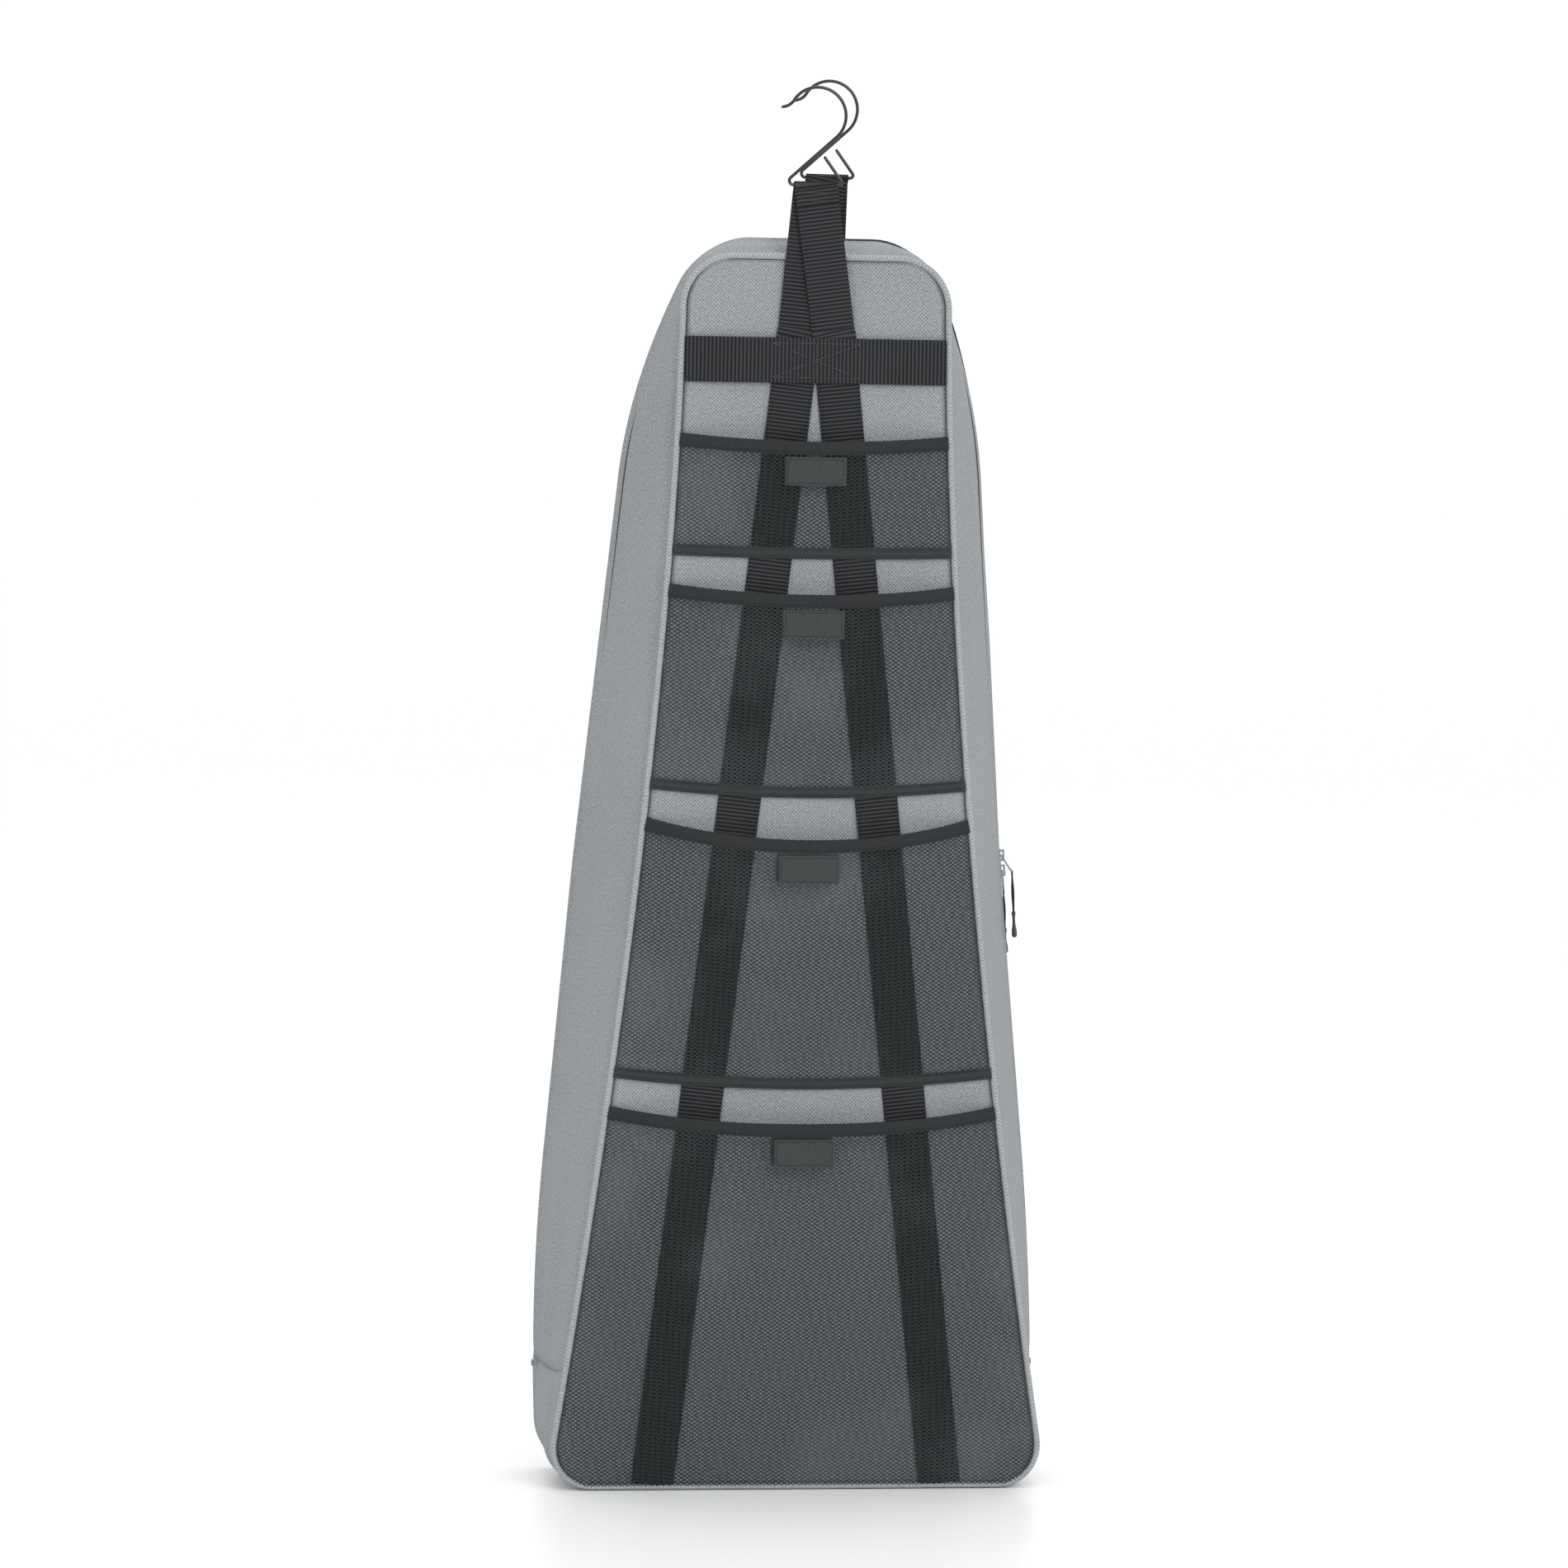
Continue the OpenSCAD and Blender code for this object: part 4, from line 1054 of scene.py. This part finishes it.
def loop(name, pivotY, bar, outY, loopBody, node):
    # one strip: up one slanted strap's line, round the hook bar and down the other's,
    # with both ends under the cross strap
    barX, barY, barZ = bar
    low = web["crossZ"] + 14
    r = 1.85 + web["thick"] / 2
    legZ = np.concatenate([np.linspace(low, pivotZ - 4, 8), np.linspace(pivotZ, barZ, 40)])
    share = np.clip((legZ - pivotZ) / (barZ - pivotZ), 0, 1)
    sway = 0.5 * np.sin(share * math.pi)
    # below the pivot the strap lies along its panel, and the far one slopes
    slope = float(farY(low) - farY(pivotZ)) / (low - pivotZ) if outY > 0 else 0
    under = slope * np.minimum(legZ - pivotZ, 0)

    def leg(side, gap):
        x = np.where(share > 0, side * strapX(pivotZ) * (1 - share) + barX * share,
                     side * strapX(legZ) * (web["apexZ"] - pivotZ) / (barZ - pivotZ))
        y = pivotY + under + (barY - pivotY) * share + gap * (0.75 + (r - 0.75) * share ** 1.5 + sway)
        return np.stack([x, y, legZ], 1)

    a = np.radians(np.linspace(180, 0, 15)[1:-1])
    turn = np.stack([np.full(13, barX), barY + outY * r * np.cos(a), barZ + r * np.sin(a)], 1)
    points = np.concatenate([leg(-1, -outY), turn, leg(1, outY)[::-1]])
    tangent = np.gradient(points, axis=0)
    out = np.stack([np.zeros(len(points)), -tangent[:, 2], tangent[:, 1]], 1) * outY
    middle = np.array([0, barY, barZ - 20])
    out *= np.median(np.sign(((points - middle) * out)[:, 1:].sum(1)))
    dress(sweepObject(name, points, out, strip), "webbing", None, node)
    y = pivotY * mm
    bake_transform(bpy.data.objects[name])
    # the strap's own end, turned under and sewn down below the bar on the outer leg
    front = leg(1, outY)
    keep = (legZ > barZ - 17) & (legZ < barZ - 3)
    patch = front[keep] + (0, outY * (web["thick"] + 0.1), 0)
    dress(sweepObject(name + "End", patch, (0, outY, 0), strip), "webbing", loopBody)
    rows = []
    for dz in (8, 14.5):
        k = int(np.argmin(np.abs(legZ - barZ + dz)))
        x = np.linspace(-17, 17, 24) + front[k, 0]
        y = np.full(24, front[k, 1] + outY * (web["thick"] * 1.5 + 0.15))
        line = np.stack([x, y, np.full(24, legZ[k])], 1)
        rows.append(stitchParts(line, (0, outY, 0), 2.6, 2.0, 0.42))
    dress(joined(name + "Stitch", rows), "stitch", loopBody)


nearStraps()
farStraps()
crossStrap("nearCrossStrap", 116.0, bag["nearY"] - 2.6, -1, "bag", "near_cross_strap")
zCross = web["crossZ"] + web["crossHeight"] / 2
crossStrap("farCrossStrap", 128.0, float(farY(zCross)) + 3.4, 1, "door", "far_cross_strap")
loop("nearLoopStrap", -62.4, nearBar, -1, "near_loop_body", "near_loop")
loop("farLoopStrap", float(farY(pivotZ)) + 2.8, farBar, 1, "far_loop_body", "far_loop")
print("webbing")

# one bent wire in the plane of the hook, from the middle of its bar
hook = {"wireR": 1.45, "endR": 1.15, "rightBend": (20.6, 2.6), "rightR": 2.6, "leftBend": (-19.6, 3.6),
        "leftR": 3.6, "crownAt": (1.1, 60.7), "crownR": 25.0, "shortLeg": 26.0}


def arc(centre, r, a, b, n):
    t = np.radians(np.linspace(a, b, n))
    return np.stack([centre[0] + r * np.cos(t), centre[1] + r * np.sin(t)], 1)


def wireHook(name, bar, body, node):
    # round wire along: short leg, right bend, bar, left bend, long leg, crown, curled tip
    right = arc(hook["rightBend"], hook["rightR"], 36, -90, 9)
    left = arc(hook["leftBend"], hook["leftR"], -90, -228, 12)
    crown = arc(hook["crownAt"], hook["crownR"], -48, 142, 60)
    leg = right[0] + arc((0, 0), 1, 126, 126, 1) * np.linspace(hook["shortLeg"], 1, 12)[:, None]
    run = left[-1] + (crown[0] - left[-1]) * np.linspace(0.05, 0.95, 12)[:, None]
    tip = crown[-1] + np.array([(-2.0, -3.0), (-4.0, -5.1), (-6.6, -6.8), (-9.6, -7.9), (-12.6, -8.4)])
    path = np.concatenate([leg, right, left, run, crown, tip])
    points = np.stack([path[:, 0] + bar[0], np.full(len(path), bar[1]), path[:, 1] + bar[2]], 1)
    r = np.full(len(points), hook["wireR"])
    r[[0, -1]] = hook["endR"]
    o = sweepObject(name, points, (0, -1, 0), disc(1, 16)[None] * r[:, None, None])
    dress(o, "wire", body, node)


wireHook("nearWireHook", nearBar, "near_hook_body", "near_hook")
wireHook("farWireHook", farBar, "far_hook_body", "far_hook")
print("hooks")

# pulls: height of the eye, tilt from the wall, lean along the bag and away from it, in degrees
pulls = {"upper": {"z": bag["meetZ"] + 7, "tilt": 34.0, "back": -12.0, "out": 1.5},
         "lower": {"z": bag["meetZ"] - 7, "tilt": 6.0, "back": 12.0, "out": 5.11},
         "length": 19.15, "pin": 5.1}
grip = {"cord": 35.0, "length": 25.0, "cordR": 0.75}


def cordTop(z, tilt):
    # the eye of a pull: out from the wall to its pin, then down its length at the tilt
    t, d = math.radians(tilt), z - bag["meetZ"]
    return np.array([farHalf(z) + pulls["pin"] + pulls["length"] * math.sin(t),
                     bag["nearY"] + bag["depth"] - bag["zipInset"]
                     - 0.147 * max(0.0, d) + 0.0444 * min(0.0, d),
                     z + pulls["pin"] * 0.0894 - pulls["length"] * math.cos(t)])


def pullCord(word):
    p = cordTop(pulls[word]["z"], pulls[word]["tilt"])
    node, body = "cord_pull_" + word, "cord_" + word + "_body"
    lean = np.array(Matrix.Rotation(-math.radians(pulls[word]["out"]), 3, "Y")
                    @ Matrix.Rotation(math.radians(pulls[word]["back"]), 3, "X"))
    # one cord looped through the eye: down one side, up the other, twisting once
    t = np.linspace(0, 1, 50)
    d = 0.55 + 0.6 * np.sin(math.pi * np.clip(t * 1.1 + 0.12, 0, 1)) ** 0.8
    turn = 0.9 * math.pi * t
    leg = np.stack([d * np.sin(turn) * 0.7, d * np.cos(turn), -grip["cord"] * t - 0.6], 1)
    crown = np.array([(0.0, 0.9, 0.9), (0.0, 0.0, 1.7), (0.0, -0.9, 0.9)])
    path = p + np.concatenate([leg[::-1], crown, leg * (-1, -1, 1)]) @ lean.T
    cord = sweepObject(word + "PullCord", path, (1, 0, 0.001), disc(grip["cordR"], 10))
    dress(cord, "thread", body, node)
    # moulded grip: a waisted, flattened bar with a heavier rounded end
    z = np.linspace(0, grip["length"], 40)
    f = z / grip["length"]
    wide = 1.9 + 0.9 * np.exp(-((f - 0.1) / 0.09) ** 2) + 1.7 / (1 + np.exp(-(f - 0.62) / 0.07))
    ends = np.sqrt(np.clip(1 - np.clip((0.08 - f) / 0.08, 0, 1) ** 2, 0.02, 1)
                   * np.clip(1 - np.clip((f - 0.88) / 0.12, 0, 1) ** 2, 0.02, 1))
    ribs = 1 - 0.05 * (np.sin(z * 2.6) > 0.2) * (f > 0.3) * (f < 0.62)
    points = p + np.stack([0 * z, 0.72 * np.sin(math.pi * f), -grip["cord"] - z], 1) @ lean.T
    profile = disc(1, 16)[None] * (wide * ends * ribs)[:, None, None] * (1, 0.68)
    o = sweepObject(word + "PullGrip", points, (1, 0, 0.001), profile)
    dress(o, "grip", body, node)


pullCord("upper")
pullCord("lower")
for name in ("slider_upper", "slider_lower", "pull_upper", "pull_lower"):
    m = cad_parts[name].modifiers.new("Rounded edges", "BEVEL")
    m.width, m.segments, m.limit_method = 0.00022, 2, "ANGLE"
print("zip pulls")

line = byNear(np.arange(ringCount), bag["nearY"] - 0.05, np.full(ringCount, -4.6))
seamRow = stitchParts(line, (0, -1, 0), 3.6, 2.6, 0.24)  # beside the near piping
dress(joined("nearSeamStitch", [seamRow]), "greyThread", "bag")


# metres and watts; every lamp looks at the middle of the bag
lights = {"Key": {"where": (1.5, -3.6, 2.6), "size": 1.6, "power": 46},
          "Fill": {"where": (-2.2, -3.4, 1.2), "size": 2.2, "power": 8},
          "Top": {"where": (0.2, 0.6, 3.4), "size": 2.0, "power": 25}}
surround = 1.06


def lamp(name, where, size, power):
    light = bpy.data.lights.new(name, "AREA")
    light.shape, light.size, light.energy = "SQUARE", size, power
    o = bpy.data.objects.new(name, light)
    bpy.context.scene.collection.objects.link(o)
    o.location = where
    o.rotation_euler = (Vector((0, 0, 0.6)) - Vector(where)).to_track_quat("-Z", "Y").to_euler()


def studio():
    m, _, b = startMaterial("Studio floor", 0.32, 0.25)
    b.inputs["Base Color"].default_value = (0.93, 0.93, 0.935, 1)
    me = bpy.data.meshes.new("Floor")
    me.from_pydata([(-30, -20, 0), (30, -20, 0), (30, 40, 0), (-30, 40, 0)], [], [(0, 1, 2, 3)])
    me.materials.append(m)
    floor = bpy.data.objects.new("Floor", me)
    bpy.context.scene.collection.objects.link(floor)
    floor.location.z = -0.0005
    world = bpy.data.worlds.new("Studio")
    bpy.context.scene.world = world
    world.use_nodes = True
    world.node_tree.nodes["Background"].inputs[0].default_value = (1, 1, 1, 1)
    world.node_tree.nodes["Background"].inputs[1].default_value = surround
    for name, light in lights.items():
        lamp(name, **light)
    bpy.context.scene.view_settings.view_transform = "Standard"


studio()
print("studio")
